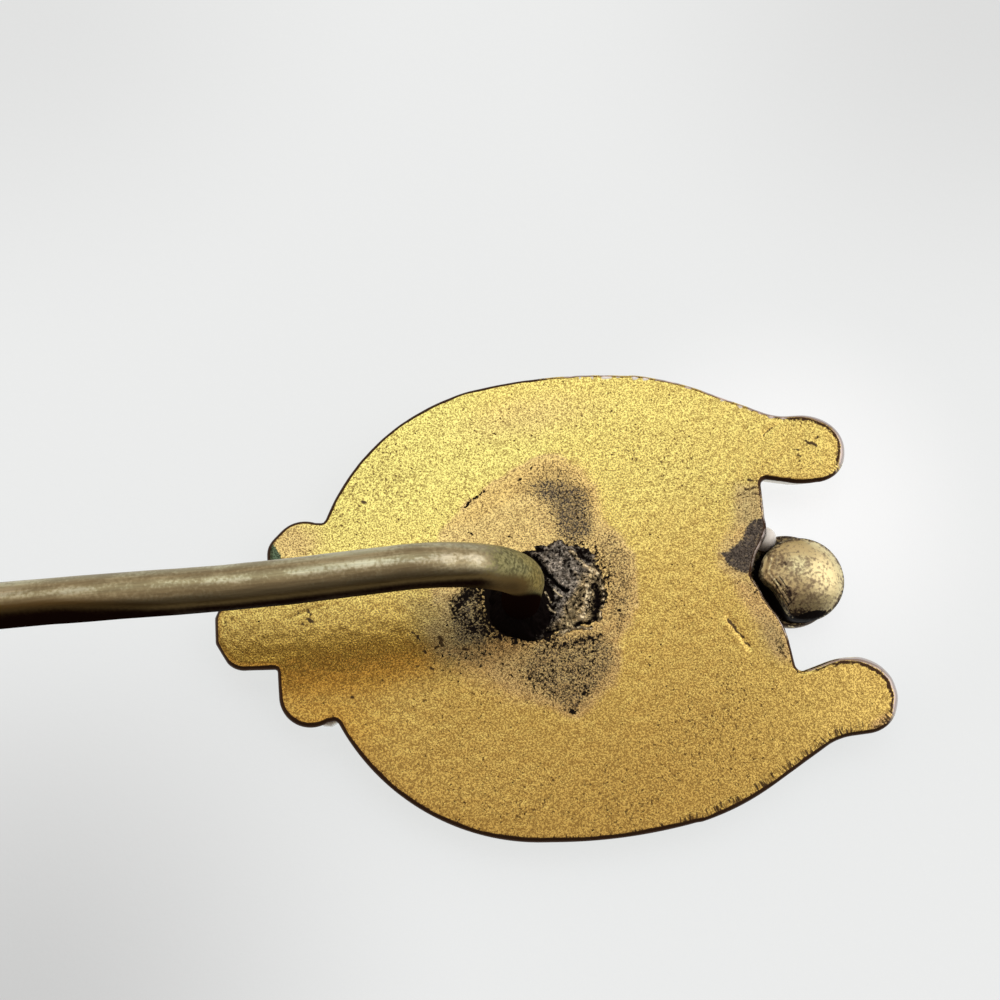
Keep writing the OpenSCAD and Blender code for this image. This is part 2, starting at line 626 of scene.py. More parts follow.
@dataclass(frozen=True)
class Gilt:
    """Sand-matted gilding: dirt in its pits, a burn round the solder, a dark rim rubbed pale in places,
    painted shade and highlights.
    """

    light: Colour = (1.0, 0.85, 0.265)
    light_low: Colour = (0.28, 0.185, 0.048)
    # The redder, darker gold of the warm painted shade
    warm: Colour = (1.0, 0.755, 0.222)
    warm_low: Colour = (0.28, 0.162, 0.039)
    # Orange tint of painted shade below the wire, and of a stain at the burn's upper edge
    amber_stain_and_shade: Colour = (1.0, 0.86, 0.61)
    haze: Colour = (0.92, 0.665, 0.27)
    haze_low: Colour = (0.28, 0.170, 0.066)
    olive: Colour = (0.33, 0.29, 0.15)
    pit: Colour = (0.16, 0.090, 0.028)
    mark: Colour = (0.085, 0.055, 0.026)
    singe: Colour = (0.110, 0.074, 0.034)
    scorch: Colour = (0.092, 0.077, 0.066)
    # Black of sooting, and of painted shade round the wire's foot
    soot: Colour = (0.011, 0.008, 0.007)
    rim: Colour = (0.060, 0.032, 0.018)
    # Pale of rubbed edges and of painted highlights
    bright: Colour = (0.52, 0.46, 0.44)
    green: Colour = (0.055, 0.075, 0.045)
    grain: float = 0.042
    cloud: float = 2.2
    drag: float = 0.038
    depth: float = 0.0045
    roughness: float = 0.19

    def material(self) -> bpy.types.Material:
        """Builds the material from the values that the plate's mesh carries.

        The grain picks a tone between a low and a full gold; where the warm painted shade is 1 the gold is
        redder and darker, and only the grain's crests are bright.

        Returns:
            The material.
        """
        s = Shader.for_material(Slot.GILT.value)
        grain = s.noise(self.grain, 2.5)
        fine = s.noise(self.grain * 0.6, 1.0, seed=4.0)
        cloud = s.noise(self.cloud, 3.0, seed=2.0)
        crumbs = s.noise(self.grain * 1.5, 2.5, seed=6.0)
        burn, soot, dirt = s.named("burn"), s.named("soot"), s.named("dirt")
        rim, polish_and_highlight = s.named("rim"), s.named("polish_and_highlight")
        lit = (grain * 0.6 + fine * 0.4).step(0.370, 0.618)
        # Painted shade: a redder, darker gold towards the lower side and the right and upper edges of the
        # body
        warm_shade = (s.named("warm_shade") + 0.5 * (cloud - 0.5)).step(0.0, 1.0)
        hazy = burn.step(0.0, 0.38)
        full = s.mix(hazy, s.mix(warm_shade, self.light, self.warm), self.haze)
        low = s.mix(hazy, s.mix(warm_shade, self.light_low, self.warm_low), self.haze_low)
        crests = lit * lit + 0.22
        gold = s.mix(lit + warm_shade * (crests - lit), low, full)
        gold = s.mix(burn.step(0.34, 0.85) * 0.52, gold, s.shaded(self.singe, 0.8 + lit * 1.4))
        # Orange tint: painted shade along the band below the wire and at the lower left, and a stain in the
        # burn
        gold = s.mix(s.named("amber_stain_and_shade"), gold, s.tinted(gold, self.amber_stain_and_shade))
        gold = s.mix(s.named("olive"), gold, s.shaded(self.olive, 0.5 + lit))
        pits = (crumbs + 0.10 * dirt).step(0.62, 0.71)
        colour = s.mix(pits * 0.80, gold, self.pit)
        combed = s.node("ShaderNodeCombineXYZ", {}, {0: s.named("run"), 1: s.named("edge") * 0.14})
        drags = s.named("drag") + 1.5 * (s.noise(self.drag, 2.0, combed, seed=8.0) - 0.5)
        marked = (s.named("mark") + 1.1 * (crumbs - 0.5)).step(0.38, 0.66)
        colour = s.mix(marked.highest(drags.step(0.40, 0.66)), colour, self.mark)
        specks = (burn + 0.6 * (0.5 - lit) + 1.0 * (0.5 - crumbs)).step(0.38, 1.14)
        burnt = s.mix(burn.step(0.45, 0.72), self.singe, self.scorch)
        colour = s.mix(specks, colour, s.shaded(burnt, 0.35 + lit * 1.3))
        # Sooted black, and painted shade of the stub round the wire's foot
        sooted_and_shaded = (crumbs + soot * 0.42).step(0.65, 0.79)
        colour = s.mix(sooted_and_shaded, colour, self.soot)
        crusted = (s.named("green") + 0.8 * (crumbs - 0.5)).step(0.35, 0.60)
        colour = s.mix(crusted, colour, s.shaded(self.green, 0.5 + lit * 1.6))
        dark_rim = (rim + 0.9 * (crumbs - 0.5)).step(0.38, 0.62)
        colour = s.mix(dark_rim, colour, self.rim)
        # Pale edge: rubbed metal, and painted highlights where the edge faces up
        glint = (polish_and_highlight + 0.5 * (fine - 0.5)).step(0.3, 0.7)
        colour = s.mix(glint, colour, s.shaded(self.bright, polish_and_highlight.step(1.0, 1.5, 1.0, 1.8)))
        dull = burn * 0.10 + sooted_and_shaded * 0.35 + dark_rim * 0.20 - glint * 0.05
        height = grain * 0.6 + fine * 0.4 - pits * 0.25
        calm = rim.highest(polish_and_highlight).step(0.0, 1.0, 1.0, 0.25)
        return s.finish(
            {
                "Base Color": colour,
                "Metallic": (1.0 - sooted_and_shaded) * (1.0 - specks * 0.4) * (1.0 - dark_rim * 0.35),
                "Roughness": self.roughness + dull,
                "Specular IOR Level": 0.02,
                "Normal": s.bumped(height * calm, self.depth),
            }
        )


@dataclass(frozen=True)
class TarnishedWire:
    """Drawn wire: grey-olive, worn lighter in stretches, with a painted highlight along its top; painted
    shade makes it brown and black below, and it is black where it was burnt, partly as painted shade.
    """

    worn: Colour = (0.50, 0.46, 0.29)
    # The pale of the painted highlight along the top
    pale: Colour = (0.60, 0.56, 0.41)
    olive: Colour = (0.250, 0.235, 0.108)
    grey: Colour = (0.34, 0.29, 0.17)
    # Colours of the painted shade below, and of char
    brown: Colour = (0.155, 0.106, 0.040)
    black: Colour = (0.008, 0.003, 0.002)
    patch: float = 0.50
    speck: float = 0.07
    line: float = 0.05
    depth: float = 0.006

    def material(self) -> bpy.types.Material:
        """Builds the material; it reads from the mesh its painted highlight, painted shade below, char with
        painted shade, and patina.

        Returns:
            The material.
        """
        s = Shader.for_material(Slot.WIRE.value)
        patches = s.noise(self.patch, 4.0, s.stretched((0.35, 1.0, 1.0)))
        speck = s.noise(self.speck, 2.0, seed=3.0)
        lines = s.noise(self.line, 1.0, s.stretched((0.06, 1.0, 1.0)), seed=5.0)
        patina, sheen = s.named("patina"), s.named("sheen")
        worn = (patches + 0.5 * (speck - 0.5)).step(0.40, 0.62)
        colour = s.mix(worn, self.grey, self.worn)
        # Painted highlight: a pale streak along the top of the wire
        painted_sheen = (sheen + 3.6 * (patches - 0.5) + 1.4 * (speck - 0.5)).step(0.55, 1.30)
        colour = s.mix(painted_sheen, colour, self.pale)
        green = (patina + 1.1 * (patches - 0.5) + 1.1 * (speck - 0.5)).step(0.35, 0.85)
        colour = s.mix(green, colour, s.shaded(self.olive, 0.55 + speck.step(0.35, 0.65) * 0.9))
        colour = s.shaded(colour, lines.step(0.3, 0.7, 0.86, 1.12))
        # Painted shade: the lower side of the wire brown, then black
        below = s.named("below") + 0.20 * (patches - 0.5) + 0.10 * (speck - 0.5)
        colour = s.mix(below.step(0.10, 0.60), colour, self.brown)
        shadowed = below.step(0.58, 1.0)
        colour = s.mix(shadowed, colour, self.black)
        # Black: char on the stub, and painted shade on its sides away from the light
        char_and_shade_step = (s.named("char_and_shade") + 0.25 * (speck - 0.5)).step(0.20, 0.90)
        colour = s.mix(char_and_shade_step, colour, self.black)
        return s.finish(
            {
                "Base Color": colour,
                "Metallic": (1.0 - char_and_shade_step) * (1.0 - shadowed) * (0.96 - green * 0.40),
                "Roughness": 0.40 - worn * 0.10 + green * 0.10 + char_and_shade_step * 0.3,
                "Specular IOR Level": 0.0,
                "Normal": s.bumped(speck * 0.7 + lines * 0.3, self.depth),
            }
        )


@dataclass(frozen=True)
class CrustedSolder:
    """Scorched solder: black crumbs and hollows, grey and tan plains and pale ragged crests."""

    black: Colour = (0.006, 0.004, 0.004)
    plain: Colour = (0.62, 0.57, 0.49)
    tan: Colour = (0.92, 0.75, 0.43)
    crest: Colour = (0.88, 0.76, 0.50)
    crumb: float = 0.095
    grain: float = 0.050
    cloud: float = 0.50
    depth: float = 0.03

    def material(self) -> bpy.types.Material:
        """Builds the material; it reads crest, hollow and tan from the mesh; the hollow value also carries
        painted shade round the wire's foot.

        Returns:
            The material.
        """
        s = Shader.for_material(Slot.SOLDER.value)
        crumbs = s.noise(self.crumb, 2.5)
        fine = s.noise(self.grain, 2.0, seed=3.0)
        cloud = s.noise(self.cloud, 2.0, seed=5.0)
        crest, hollow = s.named("crest"), s.named("hollow")
        tanned = (s.named("tan") + 1.5 * (cloud - 0.5) + 0.6 * (fine - 0.5)).step(0.30, 0.80)
        grit = crumbs * 0.45 + fine * 0.55
        grey = s.shaded(s.mix(tanned, self.plain, self.tan), 0.20 + fine.step(0.40, 0.64) * 1.7)
        # Black hollows, and painted shade round the wire's foot
        colour = s.mix((grit + hollow * 0.20 + 0.25 * (cloud - 0.5)).step(0.43, 0.58), grey, self.black)
        colour = s.mix((hollow + 1.6 * (crumbs - 0.5)).step(0.30, 0.72), colour, self.black)
        bright = crest.step(0.25, 0.65) * grit.step(0.60, 0.44)
        colour = s.mix(bright, colour, self.crest)
        return s.finish(
            {
                "Base Color": colour,
                "Metallic": 0.30 + bright * 0.6,
                "Roughness": 0.60 - bright * 0.26,
                "Specular IOR Level": 0.02,
                "Normal": s.bumped(crumbs * 0.6 + fine * 0.4, self.depth),
            }
        )


@dataclass(frozen=True)
class RubbedButton:
    """Silvery brass, mottled and bright on top, with painted shade: darker at the lower left and black in
    the gap beside the plate, its folds, the neck and under the dome; with painted glints.
    """

    bright: Colour = (0.89, 0.785, 0.44)
    dull: Colour = (0.37, 0.295, 0.185)
    dark: Colour = (0.080, 0.058, 0.045)
    black: Colour = (0.005, 0.003, 0.003)
    blotch: float = 0.26
    fleck: float = 0.12
    speck: float = 0.060
    depth: float = 0.012

    def material(self) -> bpy.types.Material:
        """Builds the material; it reads from the mesh its painted shade, the black painted shade of its
        folds, and its painted glints.

        Returns:
            The material.
        """
        s = Shader.for_material(Slot.BUTTON.value)
        blotch = s.noise(self.blotch, 3.0)
        speck = s.noise(self.speck, 2.0, seed=2.0)
        fleck = s.noise(self.fleck, 1.0, seed=6.0)
        shade, fold, glint = s.named("shade"), s.named("fold"), s.named("glint")
        # Painted shade, darker towards the lower left and the bottom, under the mottling
        worn = shade + 1.8 * (blotch - 0.5) + 1.8 * (fleck - 0.5) + 3.2 * (speck - 0.5)
        worn = worn.step(-0.12, 1.00)
        colour = s.mix(worn, self.bright, self.dull)
        deep = (shade + 1.3 * (speck - 0.5) + 0.8 * (blotch - 0.5)).step(0.72, 1.00)
        colour = s.mix(deep, colour, self.dark)
        # Black painted shade in the gap beside the plate, its grooves, the neck and under the dome, and a
        # dark hem
        folded = (fold + 0.8 * (speck - 0.5)).step(0.30, 0.70)
        colour = s.mix(folded, colour, self.black)
        colour = s.mix((glint + 1.2 * (speck - 0.5)).step(0.35, 0.70), colour, self.bright)
        return s.finish(
            {
                "Base Color": colour,
                "Metallic": 1.0 - folded,
                "Roughness": 0.36 + worn * 0.12 + folded * 0.2,
                "Specular IOR Level": 0.10,
                "Normal": s.bumped(speck * 0.6 + blotch * 0.4, self.depth),
            }
        )


@dataclass(frozen=True)
class IvoryEnamel:
    """Plain fired enamel, glossy, with a faint cloudiness and fine dust; the bead is whiter, as painted
    light.
    """

    light: Colour = (0.84, 0.81, 0.72)
    cloudy: Colour = (0.76, 0.72, 0.62)
    bead_painted_light: Colour = (1.0, 1.0, 0.97)
    cloud: float = 1.1
    dust: float = 0.07
    depth: float = 0.01

    def material(self) -> bpy.types.Material:
        """Builds the material; it reads from the mesh where the bead's painted light lies.

        Returns:
            The material.
        """
        s = Shader.for_material(Slot.ENAMEL.value)
        cloud = s.noise(self.cloud, 3.0)
        dust = s.noise(self.dust, 2.0, seed=3.0)
        colour = s.mix((cloud * 0.7 + dust * 0.3).step(0.40, 0.62), self.light, self.cloudy)
        # Painted light: the bead is painted whiter than the layer
        colour = s.mix(s.named("bead_painted_light"), colour, self.bead_painted_light)
        return s.finish(
            {
                "Base Color": colour,
                "Roughness": 0.16 + cloud * 0.12,
                "Coat Weight": 0.5,
                "Coat Roughness": 0.08,
                "Normal": s.bumped(cloud, self.depth),
            }
        )


@dataclass(frozen=True)
class PaleCard:
    """The pale surface that the pin lies on, with a faint tooth.

    It glows most at one place. Each row of shades is a dimmer place: x, y, reach and share of the glow.
    """

    tone: Colour = (0.25, 0.26, 0.275)
    toned: Colour = (0.24, 0.25, 0.265)
    glow: Colour = (0.985, 0.995, 1.0)
    far_glow: Colour = (0.82, 0.845, 0.85)
    strength: float = 0.80
    brightest: Triple = (27.5, 1.9, 0.0)
    shades: tuple[tuple[float, float, float, float], ...] = (
        (7.5, -8.5, 11.0, 0.66),
        (36.5, 17.0, 14.0, 0.83),
        (7.0, 19.5, 12.0, 0.88),
    )
    cloud: float = 30.0
    tooth: float = 0.25
    depth: float = 0.01

    def material(self) -> bpy.types.Material:
        """Builds the material.

        Returns:
            The material.
        """
        s = Shader.for_material("pale_card")
        cloud = s.noise(self.cloud, 2.0)
        tooth = s.noise(self.tooth, 3.0)
        glow = s.mix(s.apart(self.brightest).step(0.5, 6.5), self.glow, self.far_glow)
        for x, y, reach, low in self.shades:
            glow = s.shaded(glow, s.apart((x, y, 0.0)).step(0.0, reach, low, 1.0))
        return s.finish(
            {
                "Base Color": s.mix(cloud, self.tone, self.toned),
                "Roughness": 0.9,
                "Emission Color": glow,
                "Emission Strength": self.strength,
                "Normal": s.bumped(tooth, self.depth),
            }
        )


# The outline of the plate


@dataclass(frozen=True)
class Arc:
    """One arc of the outline: centre, radius, first and last angle. It is hollow if its angle grows."""

    x: float
    y: float
    r: float
    first: float
    last: float

    def walk(self, inset: float, count: int) -> Array:
        """Points along the arc, moved inwards by an inset.

        Args:
            inset: Distance towards the metal.
            count: Number of points.

        Returns:
            Places, shape (count, 2).
        """
        a = np.radians(np.linspace(self.first, self.last, count))
        r = max(0.01, self.r + (-inset if self.last < self.first else inset))
        return np.c_[self.x + r * np.cos(a), self.y + r * np.sin(a)]


HALF_OUTLINE = (
    Arc(-7.02, 0.28, 0.15, 180.0, 145.0),
    Arc(-6.45, 0.45, 0.58, 142.0, 90.0),
    Arc(-5.79, 1.14, 0.06, 270.0, 360.0),
    Arc(-4.95, 1.75, 0.78, 180.0, 65.0),
    Arc(-4.46, 2.50, 0.06, 245.0, 335.0),
    Arc(0.60, 0.24, 5.46, 155.5, 95.0),
    Arc(1.71, -7.41, 13.18, 95.0, 81.5),
    Arc(2.55, -0.81, 6.55, 79.0, 63.5),
    Arc(7.70, 5.58, 1.50, 244.0, 270.0),
    Arc(8.05, 3.15, 0.92, 90.0, -85.0),
    Arc(7.85, 4.20, 1.97, -85.0, -105.0),
    Arc(6.78, 2.27, 0.17, 90.0, 180.0),
    Arc(4.78, 1.80, 1.80, 0.0, -32.0),
    Arc(6.02, 0.00, 0.06, 148.0, 180.0),
)
ARC_POINTS = 40

# Places on the plate that several pieces share: the arms' tips, the wire's foot and the button's middles
ARM_REACH = 8.97
FOOT = (0.19, -0.15)
DOME = (7.20, -0.20)
FLANGE = (7.05, -0.09)


@dataclass(frozen=True)
class Outline:
    """The plate's closed outline, evenly spaced, with the directions out of it."""

    places: Array
    outwards: Array

    @classmethod
    def traced(cls, spacing: float, inset: float = 0.0) -> "Outline":
        """Walks the arcs and their mirror image and spaces the points evenly along the way.

        Each outward direction is the way along the outline, turned by a right angle.

        Args:
            spacing: Distance between points.
            inset: Distance towards the metal.

        Returns:
            The outline, anticlockwise.
        """
        half = np.concatenate([arc.walk(inset, ARC_POINTS) for arc in HALF_OUTLINE])
        return cls.spaced(np.concatenate([half, half[::-1] * [1.0, -1.0]])[::-1], spacing)

    @classmethod
    def spaced(cls, loop: Array, spacing: float) -> "Outline":
        """Puts points at even distances along a closed ring.

        Args:
            loop: The ring's corners, shape (n, 2).
            spacing: Distance between points.

        Returns:
            The ring.
        """
        loop = np.concatenate([loop, loop[:1]])
        run = np.r_[0.0, np.cumsum(np.hypot(*np.diff(loop, axis=0).T))]
        count = round(run[-1] / spacing)
        at = np.arange(count) * run[-1] / count
        return cls.around(np.c_[np.interp(at, run, loop[:, 0]), np.interp(at, run, loop[:, 1])])

    @classmethod
    def around(cls, places: Array) -> "Outline":
        """A ring whose outward directions are at a right angle to the way along it, to its right."""
        way = np.roll(places, -1, axis=0) - np.roll(places, 1, axis=0)
        return cls(places, unit(np.c_[way[:, 1], -way[:, 0]]))

    def swollen(self, by: Array) -> "Outline":
        """The outline with each point moved out by its own distance."""
        return Outline(self.places + by[:, None] * self.outwards, self.outwards)

    def ring(self, inset: Array | float, z: Array | float) -> Array:
        """The outline as a ring of points, moved inwards and set at a height; both may vary along it."""
        count = len(self.places)
        flat = self.places - np.broadcast_to(inset, count)[:, None] * self.outwards
        return np.c_[flat, np.broadcast_to(z, count)]

    def kept_out(self, points: Array, gap: float) -> Array:
        """Moves points inside the outline, or closer than a gap, to the gap beyond its nearest point."""
        away, index = self.nearest(points)
        clear = self.places[index] + gap * self.outwards[index]
        return np.where((self.contains(points) | (away < gap))[:, None], clear, points)

    def contains(self, points: Array) -> Array:
        """Whether points lie inside: an upward ray crosses the outline an odd number of times.

        Args:
            points: Places, shape (n, 2).

        Returns:
            One truth value per row.
        """
        a, b = self.places, np.roll(self.places, -1, axis=0)
        inside = np.zeros(len(points), bool)
        for part in np.array_split(np.arange(len(points)), max(1, len(points) // CHUNK)):
            x, y = points[part, 0][:, None], points[part, 1][:, None]
            spans = (a[:, 0] > x) != (b[:, 0] > x)
            width = np.where(spans, b[:, 0] - a[:, 0], 1.0)
            level = a[:, 1] + (x - a[:, 0]) * (b[:, 1] - a[:, 1]) / width
            inside[part] = (spans & (level > y)).sum(axis=1) % 2 == 1
        return inside

    def nearest(self, points: Array) -> tuple[Array, Array]:
        """Finds the outline's nearest point.

        Args:
            points: Places, shape (n, 2).

        Returns:
            The distance to it and its index, one each per row.
        """
        away, index = np.empty(len(points)), np.empty(len(points), int)
        for part in np.array_split(np.arange(len(points)), max(1, len(points) // CHUNK)):
            dx = points[part, 0][:, None] - self.places[:, 0]
            dy = points[part, 1][:, None] - self.places[:, 1]
            square = dx * dx + dy * dy
            index[part] = square.argmin(axis=1)
            away[part] = np.sqrt(square[np.arange(len(part)), index[part]])
        return away, index

    def distance(self, points: Array) -> Array:
        """Distance from points to the nearest point of the outline."""
        return self.nearest(points)[0]


@dataclass(frozen=True)
class Zone:
    """A stained area inside a few corners, in millimetres, with a soft border."""

    strength: float
    soft: float
    corners: tuple[Place, ...]
    spacing: float = 0.1

    def mask(self, points: Array) -> Array:
        """Strength times a soft step of the distance from the border, which is positive inside.

        Args:
            points: Places, shape (n, 2).

        Returns:
            One value per row.
        """
        ring = Outline.spaced(np.array(self.corners), self.spacing)
        away = ring.distance(points) * np.where(ring.contains(points), 1.0, -1.0)
        return self.strength * smooth(away, -self.soft, self.soft)


# The pieces


@dataclass(frozen=True)
class Seats:
    """Heights and places that the frame gives, in millimetres."""

    head_x: float
    enamel_top: float
    plate_low: float
    back: float
    wire_top: float
    point_x: float

    @classmethod
    def read(cls, plate_t: float = 0.5, seat_gap: float = 0.03) -> "Seats":
        """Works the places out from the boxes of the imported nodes.

        Args:
            plate_t: Thickness of the plate.
            seat_gap: Gap between plate and enamel.

        Returns:
            The places.
        """
        low, high = (np.array(corner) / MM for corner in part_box("plate_with_pin"))
        return cls(
            head_x=high[0] - ARM_REACH,
            enamel_top=low[2] - seat_gap,
            plate_low=low[2],
            back=low[2] + plate_t,
            wire_top=high[2],
            point_x=low[0],
        )


@dataclass(frozen=True)
class BackPlate:
    """The stamped plate: rounded rim, matted back with its stain marks and painted light and shade, and a
    plain face towards the enamel.
    """

    seats: Seats
    spacing: float = 0.054
    inner_step: float = 0.85
    edge_r: float = 0.11
    arm_edge_r: float = 0.23
    arm_x: float = 7.4
    clear: float = 1.3
    arm_margin: float = 0.03
    body_margin: float = 0.05
    uneven: float = 0.22
    front_r: float = 0.06
    draft: float = 0.14
    rim_steps: int = 9
    verdigris: Place = (-5.72, 1.55)
    crust: float = 0.12
    crust_reach: float = 0.42
    crust_long: float = 1.4
    notch_side: Place = (6.42, 0.98)
    bulge: float = 0.08
    bulge_reach: float = 0.40
    wave: float = 0.010
    scar: float = 0.013
    tooth: float = 0.003
    ridge: float = 0.068
    ridge_y: float = 0.60
    ridge_width: float = 1.6

    burns: tuple[Mark, ...] = (
        Zone(0.31, 0.12, (
            (0.0, 0.0), (2.9, 0.0), (3.1, 0.8), (2.9, 1.4), (2.5, 1.9), (2.35, 2.7), (2.15, 3.25),
            (1.6, 3.55), (1.0, 3.5), (0.35, 3.25), (-0.35, 2.85), (-1.0, 2.4), (-1.55, 1.9), (-2.0, 1.0),
            (-2.0, 0.0),
        )),
        Zone(0.56, 0.40, (
            (0.2, 3.0), (0.8, 3.35), (1.4, 3.45), (1.9, 3.35), (2.2, 3.0), (2.3, 2.4), (2.2, 1.6),
            (1.5, 1.4), (1.0, 2.0), (0.5, 2.6),
        )),
        Stroke(-0.95, 2.40, -0.30, 2.86, 0.16, 0.42),
        Stroke(-0.30, 2.86, 0.30, 3.22, 0.14, 0.40),
        Stroke(0.30, 3.22, 1.10, 3.54, 0.16, 0.42),
        Stroke(1.10, 3.54, 1.80, 3.50, 0.18, 0.38),
        Stroke(3.02, 0.95, 3.08, -0.55, 0.16, 0.40),
        Spot(0.90, 4.70, 2.40, 0.80, 5.0, 0.90, 0.20),
        Spot(-5.20, 2.00, 0.95, 0.80, 0.0, 0.80, 0.32),
        Zone(0.26, 0.45, (
            (-1.9, 0.2), (-1.9, -1.1), (-1.2, -1.9), (-0.4, -2.4), (0.5, -2.6), (1.3, -2.6), (1.9, -2.1),
            (2.3, -1.6), (2.6, -0.9), (2.8, -0.3), (2.8, 0.3),
        )),
        Zone(0.42, 0.30, (
            (0.3, 3.1), (1.5, 3.3), (2.35, 2.7), (2.5, 1.6), (2.98, 0.8), (3.05, 0.0), (2.95, -0.6),
            (2.5, -1.2), (2.2, -1.9), (1.8, -2.4), (1.2, -2.75), (0.4, -2.6), (-0.4, -2.2), (-1.0, -1.6),
            (-1.9, -1.1), (-2.2, -0.4), (-1.2, -0.2), (0.0, -0.9), (1.5, -0.9), (2.2, 0.6), (1.8, 1.2),
            (1.2, 1.5), (0.6, 1.6), (0.9, 2.5),
        )),
        Zone(0.84, 0.36, (
            (0.7, 3.0), (1.4, 3.05), (1.9, 2.9), (2.3, 2.75), (2.3, 2.2), (2.3, 1.3), (1.6, 1.2),
            (1.25, 1.5), (1.15, 2.1), (0.8, 2.6),
        )),
        Zone(0.66, 0.26, (
            (0.45, -1.0), (1.0, -0.9), (2.0, -0.9), (2.4, -1.2), (2.35, -1.8), (2.15, -2.25),
            (1.7, -2.6), (1.25, -2.9), (0.85, -2.8), (0.3, -2.2), (-0.1, -1.6),
        )),
        Zone(0.58, 0.22, (
            (2.2, 1.6), (2.8, 1.45), (3.15, 0.8), (3.05, -0.4), (2.75, -1.0), (2.3, -1.3), (2.35, -0.4),
            (2.35, 0.6),
        )),
        Zone(0.78, 0.35, (
            (-1.7, -0.3), (-1.5, 0.4), (-0.6, 0.6), (-0.6, -0.8), (-0.6, -1.2), (-1.5, -1.1),
        )),
        Zone(0.34, 0.28, (
            (5.95, 2.35), (6.7, 2.3), (6.7, 0.9), (6.2, 0.2), (5.6, -0.2), (5.2, 0.3), (5.3, 0.9),
            (5.75, 1.3),
        )),
        Zone(0.38, 0.28, (
            (5.5, -0.1), (6.1, -0.1), (6.7, -1.0), (6.7, -2.3), (6.2, -2.1), (5.9, -1.3), (5.6, -0.7),
        )),
        Zone(1.26, 0.09, (
            (6.28, 1.40), (6.60, 1.40), (6.60, 0.90), (6.45, 0.50), (6.10, 0.05), (5.85, -0.02),
            (5.62, 0.15), (5.42, 0.36), (5.30, 0.60), (5.55, 0.74), (5.90, 0.95), (6.00, 1.18),
        )),
        Spot(6.30, -1.75, 0.30, 0.55, 0.0, 0.80, 0.50),
        Spot(8.35, -3.82, 0.38, 0.17, 25.0, 0.80, 0.60),
    )
    olives: tuple[Mark, ...] = (
        Zone(0.50, 0.25, (
            (6.0, 2.35), (6.7, 2.35), (6.7, 1.2), (6.2, 1.2), (5.7, 1.3), (5.85, 1.9),
        )),
        Zone(0.35, 0.25, (
            (5.45, 0.9), (6.0, 1.0), (6.7, 1.0), (6.7, -0.3), (5.9, -0.3), (5.5, 0.0), (5.25, 0.4),
        )),
        Spot(6.20, -1.60, 0.45, 0.75, 15.0, 0.90, 0.50),
        Zone(0.50, 0.40, (
            (-2.5, 0.3), (-0.8, 0.4), (-0.7, -0.9), (-1.0, -1.4), (-1.9, -1.4), (-2.4, -0.6),
        )),
        Zone(0.25, 0.40, (
            (-1.0, -1.4), (0.3, -1.2), (2.1, -1.1), (2.2, -1.9), (1.5, -2.7), (0.3, -2.4),
        )),
    )
    # An orange tint: painted shade along the band below the wire and at the lower left, and a stain along
    # the burn's upper edge
    amber_stains_and_shade: tuple[Mark, ...] = (
        Zone(1.00, 0.45, (
            (-7.4, -0.45), (-5.0, -0.45), (-2.4, -0.45), (-1.8, -0.9), (-2.2, -1.5), (-3.5, -1.9),
            (-5.4, -1.9), (-6.2, -1.4),
        )),
        Spot(-4.60, -2.30, 1.60, 0.80, -20.0, 0.90, 0.60),
        Zone(0.32, 0.25, (
            (-1.4, 2.0), (-0.4, 2.9), (0.6, 3.4), (1.5, 3.6), (2.2, 3.3), (2.5, 2.6), (2.6, 1.6),
            (2.2, 2.2), (1.4, 2.8), (0.4, 2.6), (-0.6, 2.1),
        )),
    )
    marks: tuple[Mark, ...] = strokes(
        (6.88, 3.58, 7.20, 3.80, 0.05, 0.82), (7.20, 3.80, 7.48, 3.94, 0.04, 0.70),
        (7.95, 3.34, 8.02, 3.26, 0.10, 0.90), (8.08, 3.28, 8.20, 3.16, 0.11, 0.92),
        (8.22, 3.38, 8.30, 3.42, 0.09, 0.90), (7.62, 3.14, 7.72, 3.10, 0.08, 0.75),
        (7.66, 2.96, 7.73, 2.92, 0.08, 0.85), (6.28, 2.44, 6.52, 2.36, 0.08, 0.80),
        (6.15, 2.20, 6.50, 2.22, 0.08, 0.75), (6.32, 2.08, 6.52, 2.05, 0.08, 0.80),
        (5.18, -1.02, 5.34, -1.30, 0.13, 0.76), (5.27, -1.16, 5.34, -1.32, 0.10, 0.86),
        (5.36, -1.36, 5.48, -1.50, 0.09, 0.80), (5.48, -1.62, 5.58, -1.74, 0.08, 0.74),
        (6.30, -1.95, 6.42, -2.05, 0.10, 0.80), (8.24, -3.92, 8.50, -3.80, 0.14, 0.70),
        (-5.40, 0.08, -4.95, 0.28, 0.07, 0.62), (-4.92, 0.22, -4.84, 0.12, 0.09, 0.72),
        (-4.93, 0.03, -4.82, -0.06, 0.12, 0.84), (-5.08, -0.06, -5.04, -0.10, 0.07, 0.75),
        (-1.85, -0.74, -1.78, -0.82, 0.11, 1.00), (-1.80, -0.88, -1.76, -0.95, 0.12, 1.00),
        (-1.96, -0.98, -1.87, -0.96, 0.08, 0.95), (-2.46, -0.55, -2.42, -0.60, 0.08, 0.95),
        (-2.36, -0.66, -2.32, -0.72, 0.08, 0.95), (-2.22, -1.03, -2.18, -1.06, 0.07, 0.95),
        (-1.28, -1.07, -1.18, -1.10, 0.10, 0.90), (-2.10, -1.45, -2.04, -1.48, 0.08, 0.95),
        (-3.40, 2.88, -3.36, 2.85, 0.10, 1.00), (-4.02, -1.93, -3.98, -1.93, 0.08, 1.00),
    )
